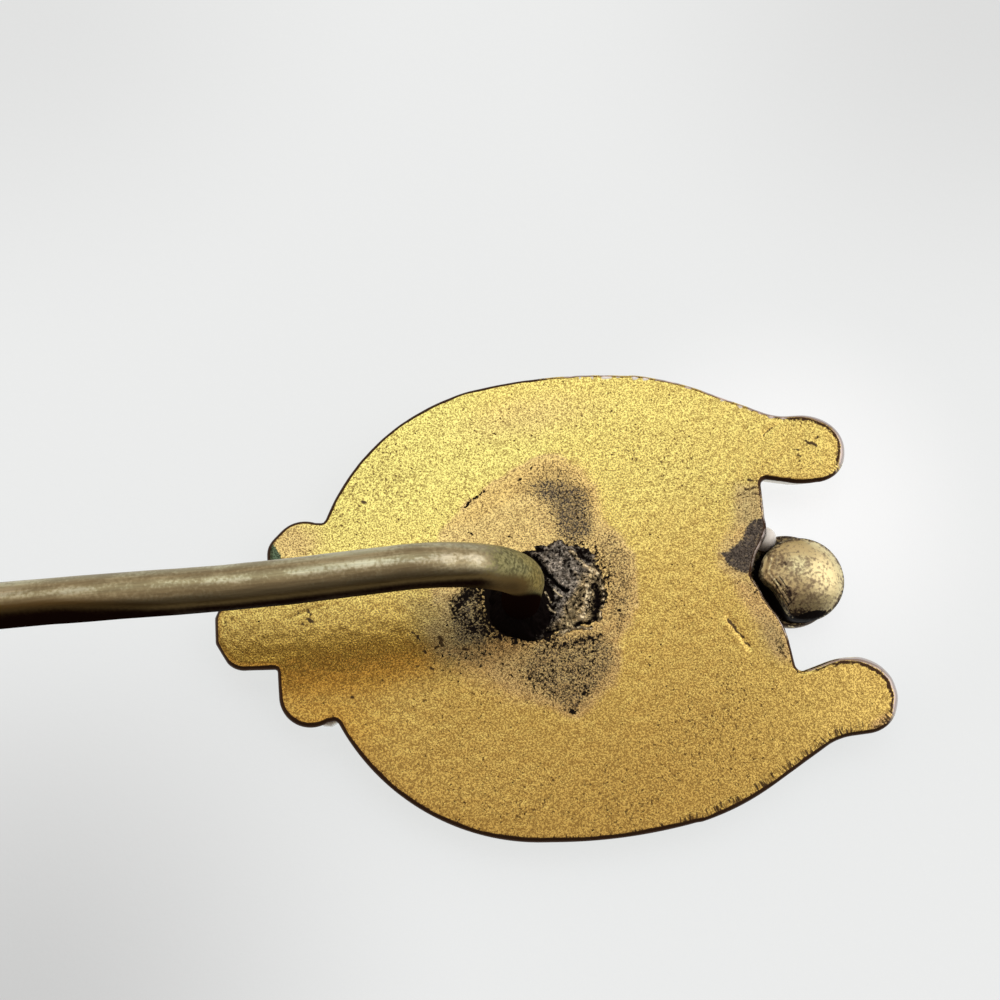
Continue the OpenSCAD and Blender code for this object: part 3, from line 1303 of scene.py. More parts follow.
    soots_and_shade: tuple[Mark, ...] = (
        # Black round the wire's foot: sooting, and painted shade of the stub
        Zone(1.40, 0.10, (
            (-0.60, 0.40), (0.95, 0.30), (1.00, -0.60), (0.90, -1.00), (0.40, -1.02), (-0.35, -0.85),
            (-0.66, -0.55),
        )),
        Stroke(-0.55, 0.34, -1.00, 0.34, 0.60, 0.80),
        Stroke(-1.00, 0.34, -1.42, -0.05, 0.50, 0.66),
        Stroke(-1.42, -0.05, -1.15, -0.52, 0.50, 0.60),
        Stroke(-1.10, -0.55, -0.60, -0.72, 0.50, 0.72),
        Zone(0.62, 0.30, (
            (-0.6, 0.5), (-1.1, 0.45), (-1.0, -0.1), (-1.1, -0.7), (-0.5, -0.9),
        )),
        Stroke(-0.66, -0.30, -0.50, -0.80, 0.42, 0.74),
        Stroke(-0.50, -0.80, 0.10, -1.02, 0.30, 0.70),
        Stroke(0.10, -1.02, 0.95, -1.06, 0.26, 0.70),
        Stroke(1.10, -1.22, 1.95, -1.10, 0.36, 0.52),
        Spot(-1.00, -1.52, 0.09, 0.05, 0.0, 0.60, 0.70),
        Spot(-1.20, -1.00, 1.30, 0.80, -5.0, 0.80, 0.34),
        Spot(1.55, 0.40, 1.15, 1.15, 0.0, 0.30, 0.55),
        Zone(0.24, 0.30, (
            (1.2, 3.0), (1.6, 2.9), (2.2, 2.6), (2.2, 1.5), (1.6, 1.4), (1.6, 2.1), (1.25, 2.5),
        )),
        Zone(0.34, 0.40, (
            (-0.6, -1.3), (0.6, -1.1), (2.1, -1.0), (2.1, -2.0), (1.5, -2.7), (0.2, -2.5),
        )),
        Spot(1.10, -2.76, 0.12, 0.09, 30.0, 0.60, 0.80),
        Spot(1.52, -2.42, 0.34, 0.22, 30.0, 0.70, 0.52),
        Zone(0.22, 0.30, (
            (2.2, 1.3), (2.9, 0.8), (3.0, 0.0), (2.9, -0.8), (2.2, -1.2), (2.3, 0.0),
        )),
        Spot(6.15, 1.90, 0.40, 0.55, 0.0, 0.90, 0.16),
        Spot(6.38, -1.90, 0.24, 0.50, 0.0, 0.90, 0.30),
        Spot(6.00, -0.30, 0.30, 0.40, 0.0, 0.90, 0.30),
        Spot(0.15, 1.60, 0.14, 0.05, 0.0, 0.60, 0.70),
        Spot(-0.82, 1.78, 0.12, 0.05, -10.0, 0.60, 0.70),
    )
    dirts: tuple[Mark, ...] = spots(
        (4.40, -3.60, 2.60, 1.50, 30.0, 0.9, 0.5), (1.20, -4.90, 3.20, 0.80, 0.0, 0.8, 0.5),
        (7.90, 3.10, 0.90, 0.80, 0.0, 0.8, 0.6), (4.00, 3.60, 2.20, 0.90, -20.0, 0.8, 0.5),
        (-2.50, 3.30, 1.60, 0.90, 30.0, 0.8, 0.35),
    )
    seams: tuple[Mark, ...] = strokes(
        (-0.88, 2.45, -0.72, 2.62, 0.07, 0.95), (-0.65, 2.66, -0.48, 2.73, 0.07, 0.95),
        (-0.48, 2.73, -0.36, 2.84, 0.07, 0.85), (0.50, 3.02, 0.58, 3.06, 0.06, 0.70),
        (0.75, 3.22, 0.98, 3.42, 0.05, 0.55),
    )
    rubbed: tuple[Mark, ...] = spots(
        (6.25, -0.85, 0.55, 1.05, 25.0, 0.6, 0.8), (6.30, 0.55, 0.42, 0.80, -25.0, 0.5, 0.64),
        (6.55, 1.70, 0.16, 0.70, 0.0, 0.6, 0.5),
    )
    scars: tuple[Mark, ...] = strokes(
        (5.20, -0.95, 5.58, -1.78, 0.13, -1.0), (5.10, -1.15, 5.45, -1.80, 0.12, 0.6),
        (6.90, 3.60, 7.50, 3.95, 0.07, -0.5), (-5.35, 0.10, -4.50, 0.32, 0.08, -0.35),
        (-4.95, -0.15, -4.65, 0.25, 0.08, -0.35),
    )

    def swelling(self, places: Array) -> Array:
        """How far the edge bulges, in bells of the distance: under the verdigris and beside the notch.

        Args:
            places: Places on the outline, shape (n, 2).

        Returns:
            One distance per row.
        """
        x, y = self.verdigris
        crust = bell(np.hypot(places[:, 0] - x, (places[:, 1] - y) / self.crust_long), self.crust_reach, 4)
        notch = bell(away_from(places, self.notch_side), self.bulge_reach, 4)
        return self.crust * crust + self.bulge * notch

    def edge_radius(self, outline: Outline) -> Array:
        """Radius of the rounded rim: small round the body, wide on the arms' ends, and uneven.

        Args:
            outline: The plate's outline.

        Returns:
            One radius per point.
        """
        arm = smooth(outline.places[:, 0], 7.6, 8.5) * smooth(outline.outwards[:, 1], -0.90, -0.30)
        uneven = 1.0 + self.uneven * lumps(outline.places, 0.45, 7, 2)
        return (self.edge_r + (self.arm_edge_r - self.edge_r) * arm) * uneven

    def relief(self, points: Array) -> Array:
        """Height of the matted back over its plane: slow waves, scars and a fine unevenness."""
        waves = self.wave * lumps(points, 2.6, 3) + 0.4 * self.wave * lumps(points, 0.9, 5)
        return waves + self.scar * total(self.scars, points) + self.tooth * lumps(points, 0.16, 8)

    def swell(self, points: Array) -> Array:
        """Height of a low ridge under the wire, a bell of the distance across it, up to the lobes' edge."""
        across = bell(points[:, 1] - self.ridge_y, self.ridge_width)
        return self.ridge * across * smooth(points[:, 0], 0.8, -2.0)

    def stains_and_shade(self, points: Array) -> dict[str, Array]:
        """Values that the finish reads, apart from those of the rim.

        The places of the stain marks are shaken by noise, so that their edges are ragged. The warm painted
        shade, a redder and darker gold, grows towards the lower side, and at the right and upper edges of
        the body.

        Args:
            points: Places, shape (n, 2).

        Returns:
            Values by name.
        """
        ragged = shaken(points, 0.08, 0.4, 11, 3)
        x, y = points.T
        # Painted shade, redder and darker: towards the lower side, and at the right and upper edges of the
        # body
        below = smooth(y - 0.25 * x, 5.0, -2.0) * (1.0 - 0.35 * smooth(x, 2.0, 6.5))
        right = 0.45 * smooth(x, -0.5, 2.5)
        upper = 0.55 * smooth(y, 4.2, 5.1) * smooth(x, -1.5, 0.5)
        return {
            "burn": most(self.burns, ragged),
            "olive": most(self.olives, ragged),
            "amber_stain_and_shade": most(self.amber_stains_and_shade, points),
            "mark": most(self.marks, shaken(points, 0.02, 0.15, 16, 2)),
            "dirt": 0.5 * lumps(points, 1.3, 13, 2) + most(self.dirts, ragged),
            "soot": np.maximum(most(self.soots_and_shade, ragged), most(self.seams, points)),
            "green": Spot(*self.verdigris, 0.26, 0.50, 0.0, 0.6, 1.0).mask(ragged),
            "warm_shade": np.max([below, right, upper], axis=0),
        }

    def edging(self, points: Array, inset: Array, top: Array, outline: Outline,
               radius: Array) -> dict[str, Array]:
        """Values of the rim: dark all round, pale where it is rubbed and, as painted highlight, where it
        faces up, with drag marks beside it.

        Args:
            points: Places, shape (n, 2).
            inset: Place across the rounding, 1 where the back begins and 0 at the wall.
            top: 1 on the back, 0 elsewhere.
            outline: The plate's outline.
            radius: Radius of the rounding at each point of the outline.

        Returns:
            The values for the dark rim, the pale of rubbed metal and painted highlights, drag, run and
            edge.
        """
        x, y = points.T
        edge, index = outline.nearest(points)
        run = index * self.spacing
        along = np.c_[run, 0.0 * run]
        facing = outline.outwards[index, 1]
        # Painted highlight: the arms' edges are pale except where they face down
        arm = smooth(x, 6.5, 7.3) * smooth(facing, -1.05, -0.50)
        low_side = smooth(y, -1.5, -4.0)
        ends = smooth(x, 7.9, 8.5)

        # On the rounding: dark towards the back, and pale in a broken line where it is rubbed or, as
        # painted highlight, where it faces up
        lit_brow = smooth(facing, 0.60, 0.88) * smooth(x, 0.5, 2.5) * (1.0 - arm)
        rubbed_and_lit = np.max([arm, most(self.rubbed, points), lit_brow], axis=0)
        broken = np.clip(0.95 - 0.50 * lit_brow + (0.5 + 0.6 * lit_brow) * lumps(along, 0.22, 18), 0.0, 1.0)
        pale = smooth(inset, 0.02, 0.14) * smooth(inset, 0.80, 0.55) * broken * (1.0 + 0.6 * lit_brow)
        worn = np.maximum(0.72 * smooth(inset, 0.50, 0.80), 0.8 * smooth(inset, 0.10, 0.0))
        worn = worn * (1.0 - np.minimum(pale, 1.0))
        dark = smooth(edge / (0.15 - 0.05 * smooth(x, 6.2, 7.0)), 1.0, 0.4) ** 0.5

        # On the back: a dark line beside the edge, and painted highlights as bright dots along the upper
        # one
        ragged = edge + 0.04 * lumps(points, 0.22, 14, 2)
        near = 0.60 * smooth(ragged, 0.10 + 0.07 * low_side, 0.0) * (1.0 - arm)
        line = 0.66 * arm * smooth(ragged - radius[index], 0.11, -0.02)
        dots = smooth(lumps(along, 0.10, 19), 0.05, 0.45)
        dots *= smooth(facing, 0.45, 0.80) * smooth(x, 1.0, 3.0) * smooth(x, 8.7, 8.3) * smooth(y, 2.6, 3.2)
        painted_glints = smooth(edge, 0.13, 0.09) * smooth(edge, 0.03, 0.07) * dots

        corner = smooth(y, -2.5, -3.6) * smooth(x, 2.0, 4.5)
        reach = 0.14 + 0.05 * low_side + 0.20 * np.maximum(corner, ends)
        strength = 0.28 + 0.24 * np.maximum(low_side, ends)
        return {
            "rim": np.where(top > 0.0, np.maximum(near, line), dark * (1.0 - rubbed_and_lit) + worn * rubbed_and_lit),
            "polish_and_highlight": np.maximum(pale * rubbed_and_lit * (1.0 - top), 1.5 * painted_glints),
            "drag": strength * smooth(edge / reach, 1.3, 0.3),
            "run": run,
            "edge": edge,
        }

    def inner_places(self, outline: Outline) -> Array:
        """Places that the back runs through: a grid of even triangles, clear of the rounded rim.

        Args:
            outline: The plate's outline.

        Returns:
            Places, shape (n, 2).
        """
        step = self.spacing * self.inner_step
        low, high = outline.places.min(axis=0), outline.places.max(axis=0)
        x, y = np.meshgrid(np.arange(low[0], high[0], step), np.arange(low[1], high[1], step * ROW_STEP))
        x[1::2] += step / 2
        inner = np.c_[x.ravel(), y.ravel()]
        inner = inner[outline.contains(inner)]
        away = outline.distance(inner)
        beside_arm = away > self.arm_edge_r * self.clear + self.arm_margin
        body_clear = self.edge_r * self.clear + self.body_margin
        beside_body = (away > body_clear) & (inner[:, 0] < self.arm_x)
        return inner[beside_arm | beside_body]

    def build(self) -> list[bpy.types.Object]:
        """Builds the plate: rounded rings carried along the outline, and two filled faces.

        Returns:
            The piece.
        """
        outline = Outline.traced(self.spacing)
        outline = outline.swollen(self.swelling(outline.places))
        radius = self.edge_radius(outline)
        rings = [outline.ring(inset, self.seats.back - drop)
                 for inset, drop in quarter_round(radius, self.rim_steps)]
        rings += [outline.ring(self.draft + inset, self.seats.plate_low + rise)
                  for inset, rise in reversed(quarter_round(self.front_r, self.rim_steps))]
        inner = self.inner_places(outline)
        shell = Shell.lidded(rings, np.c_[inner, np.full(len(inner), self.seats.back)])

        def shares(of_rings: Array) -> Array:
            """A share for each ring of the upper rounding, 0 below it and 1 on the back."""
            upper_and_lower = np.r_[of_rings, np.zeros(self.rim_steps)]
            return np.r_[np.repeat(upper_and_lower, len(radius)), np.ones(len(inner))]

        flat = shell.points[:, :2]
        inset = shares(1.0 - np.sin(np.linspace(0.0, RIGHT_ANGLE, self.rim_steps)))
        raised = shares(np.linspace(1.0, 0.0, self.rim_steps))
        top = (raised == 1.0).astype(float)
        shell.values = self.stains_and_shade(flat) | self.edging(flat, inset, top, outline, radius)
        calm = smooth(shell.values["edge"], 0.05, 0.35)
        shell.points[:, 2] += self.relief(flat) * top * calm + self.swell(flat) * raised
        return [shell.build("plate", self.seats.head_x, Gilt().material(), Slot.GILT, "plate_with_pin")]


@dataclass(frozen=True)
class PinWire:
    """The wire: it stands up from the plate, bends over and runs out to its point."""

    seats: Seats
    wire_d: float = 0.92
    sunk: float = 0.3
    bend_r: float = 2.5
    point_len: float = 4.0
    point_d: float = 0.16
    point_power: float = 0.8
    uneven: float = 0.006
    uneven_size: float = 0.7
    offset: float = 0.035
    lean: float = 0.003
    lean_to: float = 14.0
    bow: float = 0.097
    bow_at: float = 3.12
    bow_width: float = 3.10
    sides: int = 48
    step: float = 0.10

    def centreline(self) -> tuple[Array, Array]:
        """The way of the wire's middle: a stub, a quarter of a circle and a long straight.

        Returns:
            Places, shape (n, 3), and the length run at each.
        """
        axis_z = self.seats.wire_top - self.wire_d / 2
        low = self.seats.back - self.sunk
        stub = axis_z - self.bend_r - low
        quarter = self.bend_r * RIGHT_ANGLE
        straight = FOOT[0] - self.bend_r - (self.seats.point_x - self.seats.head_x)
        whole = stub + quarter + straight
        run = np.linspace(0.0, whole, round(whole / self.step) + 1)
        a = np.clip((run - stub) / self.bend_r, 0.0, RIGHT_ANGLE)
        x = FOOT[0] - self.bend_r * (1.0 - np.cos(a)) - np.maximum(run - stub - quarter, 0.0)
        z = low + np.minimum(run, stub) + self.bend_r * np.sin(a)
        return np.c_[x, FOOT[1] + self.sway(x), z], run

    def sway(self, x: Array) -> Array:
        """Sideways play of the wire at places along it: a slight lean less one shallow bow."""
        away = np.clip(FOOT[0] - self.bend_r - x, 0.0, self.lean_to)
        return self.offset + self.lean * away - self.bow * bell(away - self.bow_at, self.bow_width)

    def build(self) -> list[bpy.types.Object]:
        """Builds the wire: a circle carried along the centreline, closed at both ends.

        Returns:
            The piece.
        """
        middle, run = self.centreline()
        way = unit(np.gradient(middle, axis=0))
        side = unit(np.cross(way, [0.0, 1.0, 0.0]))
        other = np.cross(way, side)
        around = directions(self.sides)
        out = around[:, :1] * side[:, None] + around[:, 1:] * other[:, None]
        taper = smooth(run[-1] - run, 0.0, self.point_len) ** self.point_power
        r = (self.point_d + (self.wire_d - self.point_d) * taper) / 2
        tube = middle[:, None] + r[:, None, None] * out
        uneven = self.uneven * lumps(tube.reshape(-1, 3), self.uneven_size, 21, 2).reshape(tube.shape[:2])
        tube += out * (uneven * smooth(r, 0.1, 0.4)[:, None])[:, :, None]
        tube[:, :, 2] = np.minimum(tube[:, :, 2], self.seats.wire_top)
        shell = Shell.capped(tube, middle[[0, -1]])
        shell.values = self.tarnish(shell.points, np.concatenate([out.reshape(-1, 3), np.zeros((2, 3))]))
        finish = TarnishedWire().material()
        return [shell.build("pin_wire", self.seats.head_x, finish, Slot.WIRE, "plate_with_pin")]

    def tarnish(self, points: Array, out: Array) -> dict[str, Array]:
        """Values that the finish reads.

        The wire is painted dark, as shade, on the side turned away from the light, which reaches higher out
        beyond the plate. A painted highlight runs along its top, and the elbow is green, and black with
        char and painted shade towards the foot.

        Args:
            points: The mesh's points.
            out: Direction out of the wire at each, zero at the ends.

        Returns:
            Values by name.
        """
        x = points[:, 0]
        rise = points[:, 2] - self.seats.back
        right, front, facing = out.T
        turned = np.arctan2(-front, facing)
        elbow = smooth(x + 0.10 * lumps(points, 0.30, 22, 2), -0.85, -0.20)
        far = smooth(x, -6.5, -9.5)
        # Painted shade on the side turned away from the light; a little less where the plate lies below
        under = smooth(turned + 0.50 * far, 0.20, 1.30) * (1.0 - 0.6 * smooth(turned, 1.8, 2.4) * far)
        under = np.maximum(under, 0.4 * smooth(turned, -1.9, -2.5))
        under *= (0.75 + 0.25 * smooth(x, -0.3, -0.9)) * smooth(x, 0.6, -0.1)
        over_plate = smooth(turned, 1.10, 1.45) * smooth(x, -7.2, -6.6)
        # Painted highlight along the top of the wire
        streak = bell(turned + 0.02 + 0.18 * far, 0.34 + 0.02 * smooth(x, -2.4, -1.2))
        # The stub is black up to this height, as char and painted shade, and lower on the side that faces
        # +X
        char_and_shade_top = 3.1 - 2.15 * np.maximum(right, 0.0) ** 3
        return {
            "sheen": streak * (1.0 - elbow) * (1.04 - 0.28 * smooth(x, -1.4, -5.0)),
            "below": under * (1.0 - 0.08 * over_plate),
            "char_and_shade": smooth(rise - char_and_shade_top, 0.75, -0.30),
            "patina": 0.22 + 0.78 * elbow,
        }


@dataclass(frozen=True)
class SolderCrust:
    """The solder beside the wire's foot: a low crusty mound with ragged crests and a collar."""

    seats: Seats
    middle: Place = (0.90, 0.10)
    wire_r: float = 0.46
    mound: float = 0.17
    collar: float = 0.50
    collar_width: float = 0.30
    crumb: float = 0.040
    grain: float = 0.034
    crest: float = 0.075
    hollow: float = 0.085
    sunk: float = 0.12
    below: float = 0.05
    ragged: float = 0.05
    around: int = 400
    outwards: int = 80
    reach: tuple[tuple[float, float], ...] = (
        (0.0, 1.50), (13.0, 1.58), (34.0, 1.60), (45.0, 1.55), (60.0, 1.38), (69.0, 1.48), (90.0, 1.30),
        (116.0, 1.27), (150.0, 1.28), (168.0, 1.42), (188.0, 1.50), (203.0, 1.72), (214.0, 1.64),
        (231.0, 1.40), (252.0, 1.30), (270.0, 1.16), (298.0, 1.24), (319.0, 1.56), (337.0, 1.56),
        (360.0, 1.50),
    )
    crests: tuple[Mark, ...] = strokes(
        (1.52, 1.10, 1.70, 0.95, 0.15, 0.80), (1.70, 0.95, 1.92, 0.62, 0.14, 0.80),
        (1.92, 0.60, 2.20, 0.40, 0.13, 0.80), (1.84, 0.36, 1.87, -0.02, 0.12, 1.00),
        (1.87, -0.02, 1.76, -0.34, 0.12, 1.00), (1.76, -0.34, 1.56, -0.64, 0.12, 1.00),
        (0.96, -0.98, 1.30, -0.90, 0.17, 0.95), (1.30, -0.90, 1.66, -0.92, 0.16, 1.00),
        (1.66, -0.92, 2.05, -0.90, 0.13, 0.80), (2.20, 0.28, 2.17, -0.12, 0.08, 0.60),
        (2.17, -0.12, 2.08, -0.62, 0.09, 0.80), (1.02, 0.14, 1.26, -0.14, 0.09, 0.60),
        (0.80, 0.06, 0.94, -0.20, 0.08, 0.65), (0.84, -0.30, 1.02, -0.42, 0.08, 0.60),
        (1.62, 0.50, 1.70, 0.20, 0.12, 0.45), (1.30, -0.30, 1.42, -0.50, 0.10, 0.45),
    )
    hollows: tuple[Mark, ...] = strokes(
        (2.05, 0.16, 2.04, -0.30, 0.17, 0.50), (2.04, -0.30, 1.92, -0.66, 0.18, 0.60),
        (1.94, -0.74, 1.50, -0.80, 0.13, 1.00), (1.72, 1.16, 2.02, 0.78, 0.14, 0.40),
        (2.02, 0.78, 2.26, 0.60, 0.14, 0.40), (2.26, -0.60, 2.28, -0.86, 0.22, 0.95),
        (0.75, 0.88, 1.04, 0.36, 0.10, 0.95), (1.04, 0.36, 1.38, 0.04, 0.09, 0.90),
        (0.80, -0.95, 1.30, -0.88, 0.12, 0.90), (0.36, 1.22, 0.90, 1.20, 0.16, 0.85),
        (1.05, 1.36, 1.50, 1.46, 0.14, 0.80), (1.90, 1.10, 2.15, 0.92, 0.16, 0.40),
    )

    @staticmethod
    def bent(flat: Array) -> Array:
        """Places shaken by noise, which makes the crests and hollows wander."""
        return shaken(flat, 0.07, 0.33, 36, 3)

    def height(self, flat: Array, share: Array) -> Array:
        """Height over the plate's back: a mound, a collar at the wire, crests, hollows and crumbs.

        Args:
            flat: Places, shape (n, 2).
            share: 0 at the middle of the crust and 1 at its border.

        Returns:
            One height per row.
        """
        puddle = 0.35 + 0.65 * smooth(flat[:, 0], -0.6, 1.1)
        mound = self.mound * puddle * (1.0 - share**3)
        from_wire = np.maximum(away_from(flat, FOOT) - self.wire_r, 0.0)
        collar = self.collar * bell(from_wire, self.collar_width, 1.4)
        crumbs = self.crumb * lumps(flat, 0.16, 31, 3) + self.grain * lumps(flat, 0.065, 32)
        bent = self.bent(flat)
        broken = 0.55 + 0.45 * lumps(flat, 0.09, 39, 2)
        marks = self.crest * most(self.crests, bent) * broken - self.hollow * most(self.hollows, bent)
        inside = smooth(share, 1.0, 0.86)
        return (np.maximum(mound, collar) + crumbs + marks) * inside - self.below * (1.0 - inside)

    def build(self) -> list[bpy.types.Object]:
        """Builds the crust: rings from the middle to its ragged border, closed below.

        Point (a, t) lies at the middle plus t times the reach in direction a.

        Returns:
            The piece.
        """
        way = directions(self.around)
        angle, reach = np.array(self.reach).T
        reach = np.interp(np.linspace(0.0, 360.0, self.around, endpoint=False), angle, reach)
        reach = reach * (1.0 + self.ragged * lumps(way * 3.0, 0.35, 33, 2))
        share = np.linspace(0.0, 1.0, self.outwards + 1)[1:]
        flat = spokes(self.middle, share[:, None] * reach, way)
        shares = np.repeat(share, self.around)
        top = np.c_[flat, self.seats.back + self.height(flat, shares)]
        border = top[-self.around :] - [0.0, 0.0, self.sunk]
        peak = self.height(np.array([self.middle]), np.zeros(1))[0]
        ends = np.array([[*self.middle, self.seats.back + peak],
                         [*self.middle, self.seats.back - self.sunk - self.below]])
        shell = Shell.capped(np.concatenate([top, border]).reshape(-1, self.around, 3), ends)
        shell.values = self.scorching(shell.points[:, :2], np.r_[shares, np.ones(self.around), 0.0, 0.0])
        finish = CrustedSolder().material()
        return [shell.build("solder", self.seats.head_x, finish, Slot.SOLDER, "plate_with_pin")]

    def scorching(self, flat: Array, shares: Array) -> dict[str, Array]:
        """Values that the finish reads: pale crests, tan metal at the lower right and black hollows.

        It is black round the wire's foot and left of it, as sooting and painted shade of the stub, and in a
        ragged ring inside the border.

        Args:
            flat: Places of the mesh's points, shape (n, 2).
            shares: 0 at the middle of the crust and 1 at its border.

        Returns:
            Values by name.
        """
        crumbs = lumps(flat, 0.12, 34, 2)
        bent = self.bent(flat)
        # Black round the wire's foot and left of it: sooting, and painted shade of the stub
        foot = smooth(away_from(flat, FOOT), 1.05, 0.62)
        left = smooth(flat[:, 0] + 0.25 * crumbs, 0.75, 0.35)
        ring = 0.34 * smooth(shares + 0.07 * crumbs, 0.86, 0.95) * smooth(flat[:, 1], -0.80, -0.50)
        return {
            "crest": most(self.crests, bent) * smooth(lumps(flat, 0.14, 38, 2), -0.80, -0.10),
            "tan": smooth(flat[:, 0] - 0.8 * flat[:, 1], 1.0, 1.9),
            "hollow": np.max([most(self.hollows, bent), foot, left, ring], axis=0),
        }


@dataclass(frozen=True)
class Button:
    """The button in the notch: a dome folded down beside the plate, a neck and a thin flange.

    Each row of folds has its share of the height, its distance from the plate and its width.
    """

    seats: Seats
    dome_r: float = 1.05
    dome_h: float = 0.50
    rise: float = 0.42
    flange_r: float = 1.18
    flange_t: float = 0.30
    bevel: float = 0.06
    flange_ease: float = 0.05
    crown: float = 0.92
    rim_share: float = 0.97
    rim_drop: float = 0.10
    neck_share: float = 0.95
    gap: float = 0.10
    low_gap: float = 0.26
    shoulder: float = 0.16
    cut_shoulder: float = 0.10
    fold: float = 0.030
    folds: tuple[tuple[float, float, float], ...] = ((1.0, 0.33, 0.030), (0.7, 0.44, 0.035))
    grooves: tuple[float, ...] = (0.31, 0.39, 0.48)
    groove_width: float = 0.018
    edges: tuple[float, ...] = (0.35, 0.435)
    edge_width: float = 0.022
    dents: float = 0.008
    around: int = 240
    dome_rings: int = 60
    probes: int = 120
    blur: int = 15
    spacing: float = 0.03
    shades: tuple[Mark, ...] = spots(
        (6.62, -0.60, 0.50, 1.00, 25.0, 0.90, 0.86), (6.95, -1.12, 0.95, 0.31, -12.0, 0.80, 0.94),
        (6.66, 0.16, 0.40, 0.40, 0.0, 0.90, 0.72), (6.95, -0.45, 0.85, 0.85, 0.0, 1.00, 0.55),
    )
    # Painted shade: a dark arc on the dome's lower side
    shade_crescent: Spot = Spot(7.10, -1.18, 0.60, 0.13, 8.0, 0.5, 1.0)

    def reach(self, outline: Outline, way: Array) -> Array:
        """How far the dome reaches in each direction before it meets the notch or its own edge.

        The last clear probe of each direction is taken, and the radii are blurred round the dome.

        Args:
            outline: The plate's outline.
            way: Directions from the dome's middle.

        Returns:
            One radius per direction.
        """
        steps = np.linspace(0.2, 1.0, self.probes) * self.dome_r
        probes = spokes(DOME, steps[:, None], way)
        gap = self.gap + (self.low_gap - self.gap) * smooth(probes[:, 1], 0.15, -0.45)
        free = (outline.distance(probes) > gap) & ~outline.contains(probes)
        clear = np.logical_and.accumulate(free.reshape(self.probes, -1), axis=0)
        limit = steps[np.maximum(clear.sum(axis=0) - 1, 0)]
        soft = np.hanning(self.blur + 2)[1:-1]
        wrapped = np.r_[limit[-self.blur :], limit, limit[: self.blur]]
        blurred = np.convolve(wrapped, soft / soft.sum(), "same")[self.blur : -self.blur]
        return np.minimum(blurred, self.dome_r)

    def build(self) -> list[bpy.types.Object]:
        """Builds the button: rings over the dome, down the neck and round the flange.

        The dome is part of a ball: its height falls by R - sqrt(R^2 - r^2) at a radius r, and by a
        soft shoulder near the rim. Folds are bells of the distance from the plate. The rings crowd
        towards the rim, as their radii follow a sine raised to the power crown.

        Returns:
            The piece.
        """
        outline = Outline.traced(self.spacing)
        way = directions(self.around)
        limit = self.reach(outline, way)
        cut = smooth(self.dome_r - limit, 0.0, 0.15)
        t = np.linspace(0.0, 1.0, self.dome_rings + 1)[1:, None]
        radii = np.sin(RIGHT_ANGLE * t) ** self.crown * limit
        ball = (self.dome_r**2 + self.dome_h**2) / (2.0 * self.dome_h)
        drop = ball - np.sqrt(ball**2 - radii**2)
        shoulder = (self.shoulder + self.cut_shoulder * cut) * smooth(t, 0.78, 1.0) ** 2
        peak = self.seats.back + self.rise
        places = spokes(DOME, radii, way)
        away = outline.distance(places)
        beside = smooth(places[:, 0], 7.0, 6.6)
        folds = sum(share * bell(away - at, width) for share, at, width in self.folds)
        folds *= (0.5 + 0.5 * lumps(places, 0.22, 42)) * beside
        z = (peak - drop - shoulder).ravel() + self.fold * folds + self.dents * lumps(places, 0.4, 41, 3)
        dome = np.c_[places, z].reshape(self.dome_rings, self.around, 3)
        skirt = (
            (DOME, limit * self.rim_share, dome[-1, :, 2] - self.rim_drop),
            (DOME, limit * self.neck_share, self.flange_t),
            (FLANGE, self.flange_r - self.flange_ease, self.flange_t),
            (FLANGE, self.flange_r, self.flange_t - self.bevel),
            (FLANGE, self.flange_r, self.bevel),
            (FLANGE, self.flange_r - self.bevel, 0.0),
        )
        rings = [self.ring(way, *row) for row in skirt]
        shell = Shell.capped(np.concatenate([dome, rings]), np.array([[*DOME, peak], [*FLANGE, 0.0]]))
        shell.values = self.marks(shell.points[:, :2], away, beside)
        finish = RubbedButton().material()
        return [shell.build("domed_button", self.seats.head_x, finish, Slot.BUTTON, "button")]

    @staticmethod
    def ring(way: Array, centre: Place, radius: Array | float, z: Array | float) -> Array:
        """A ring of points about a centre at a radius and a height, which may both vary round it."""
        flat = np.array(centre) + np.broadcast_to(radius, len(way))[:, None] * way
        return np.c_[flat, np.broadcast_to(z, len(way))]

    def marks(self, flat: Array, away: Array, beside: Array) -> dict[str, Array]:
        """Values that the finish reads: painted shade, black painted shade in the gap, folds, neck and
        under the dome, and painted glints.

        Args:
            flat: Places of the mesh's points, those of the dome first, then those of the neck.
            away: Distance of the dome's points from the plate.
            beside: Share of the side beside the plate, for the dome's points.

        Returns:
            Values by name.
        """
        index = np.arange(len(flat))
        dome = (index < len(away)).astype(float)
        neck = (index < len(away) + 2 * self.around) - dome
        flange = 1.0 - dome - neck
        others = len(flat) - len(away)
        gap = np.r_[away, np.full(others, FAR)]
        side = np.r_[beside, np.zeros(others)]
        out = away_from(flat, DOME)
        lower = smooth(flat[:, 1], 0.1, -0.3)
        grooves = sum(bell(gap - at, self.groove_width) for at in self.grooves)
        # Painted shade: black in the gap beside the plate and in the grooves below
        fold = side * np.maximum(smooth(gap, 0.21, 0.16), 0.75 * grooves * lower)
        hem = 0.56 * dome * smooth(out, self.dome_r - 0.13, self.dome_r - 0.05)
        lip = 0.62 * smooth(out, self.dome_r - 0.14, self.dome_r - 0.10)
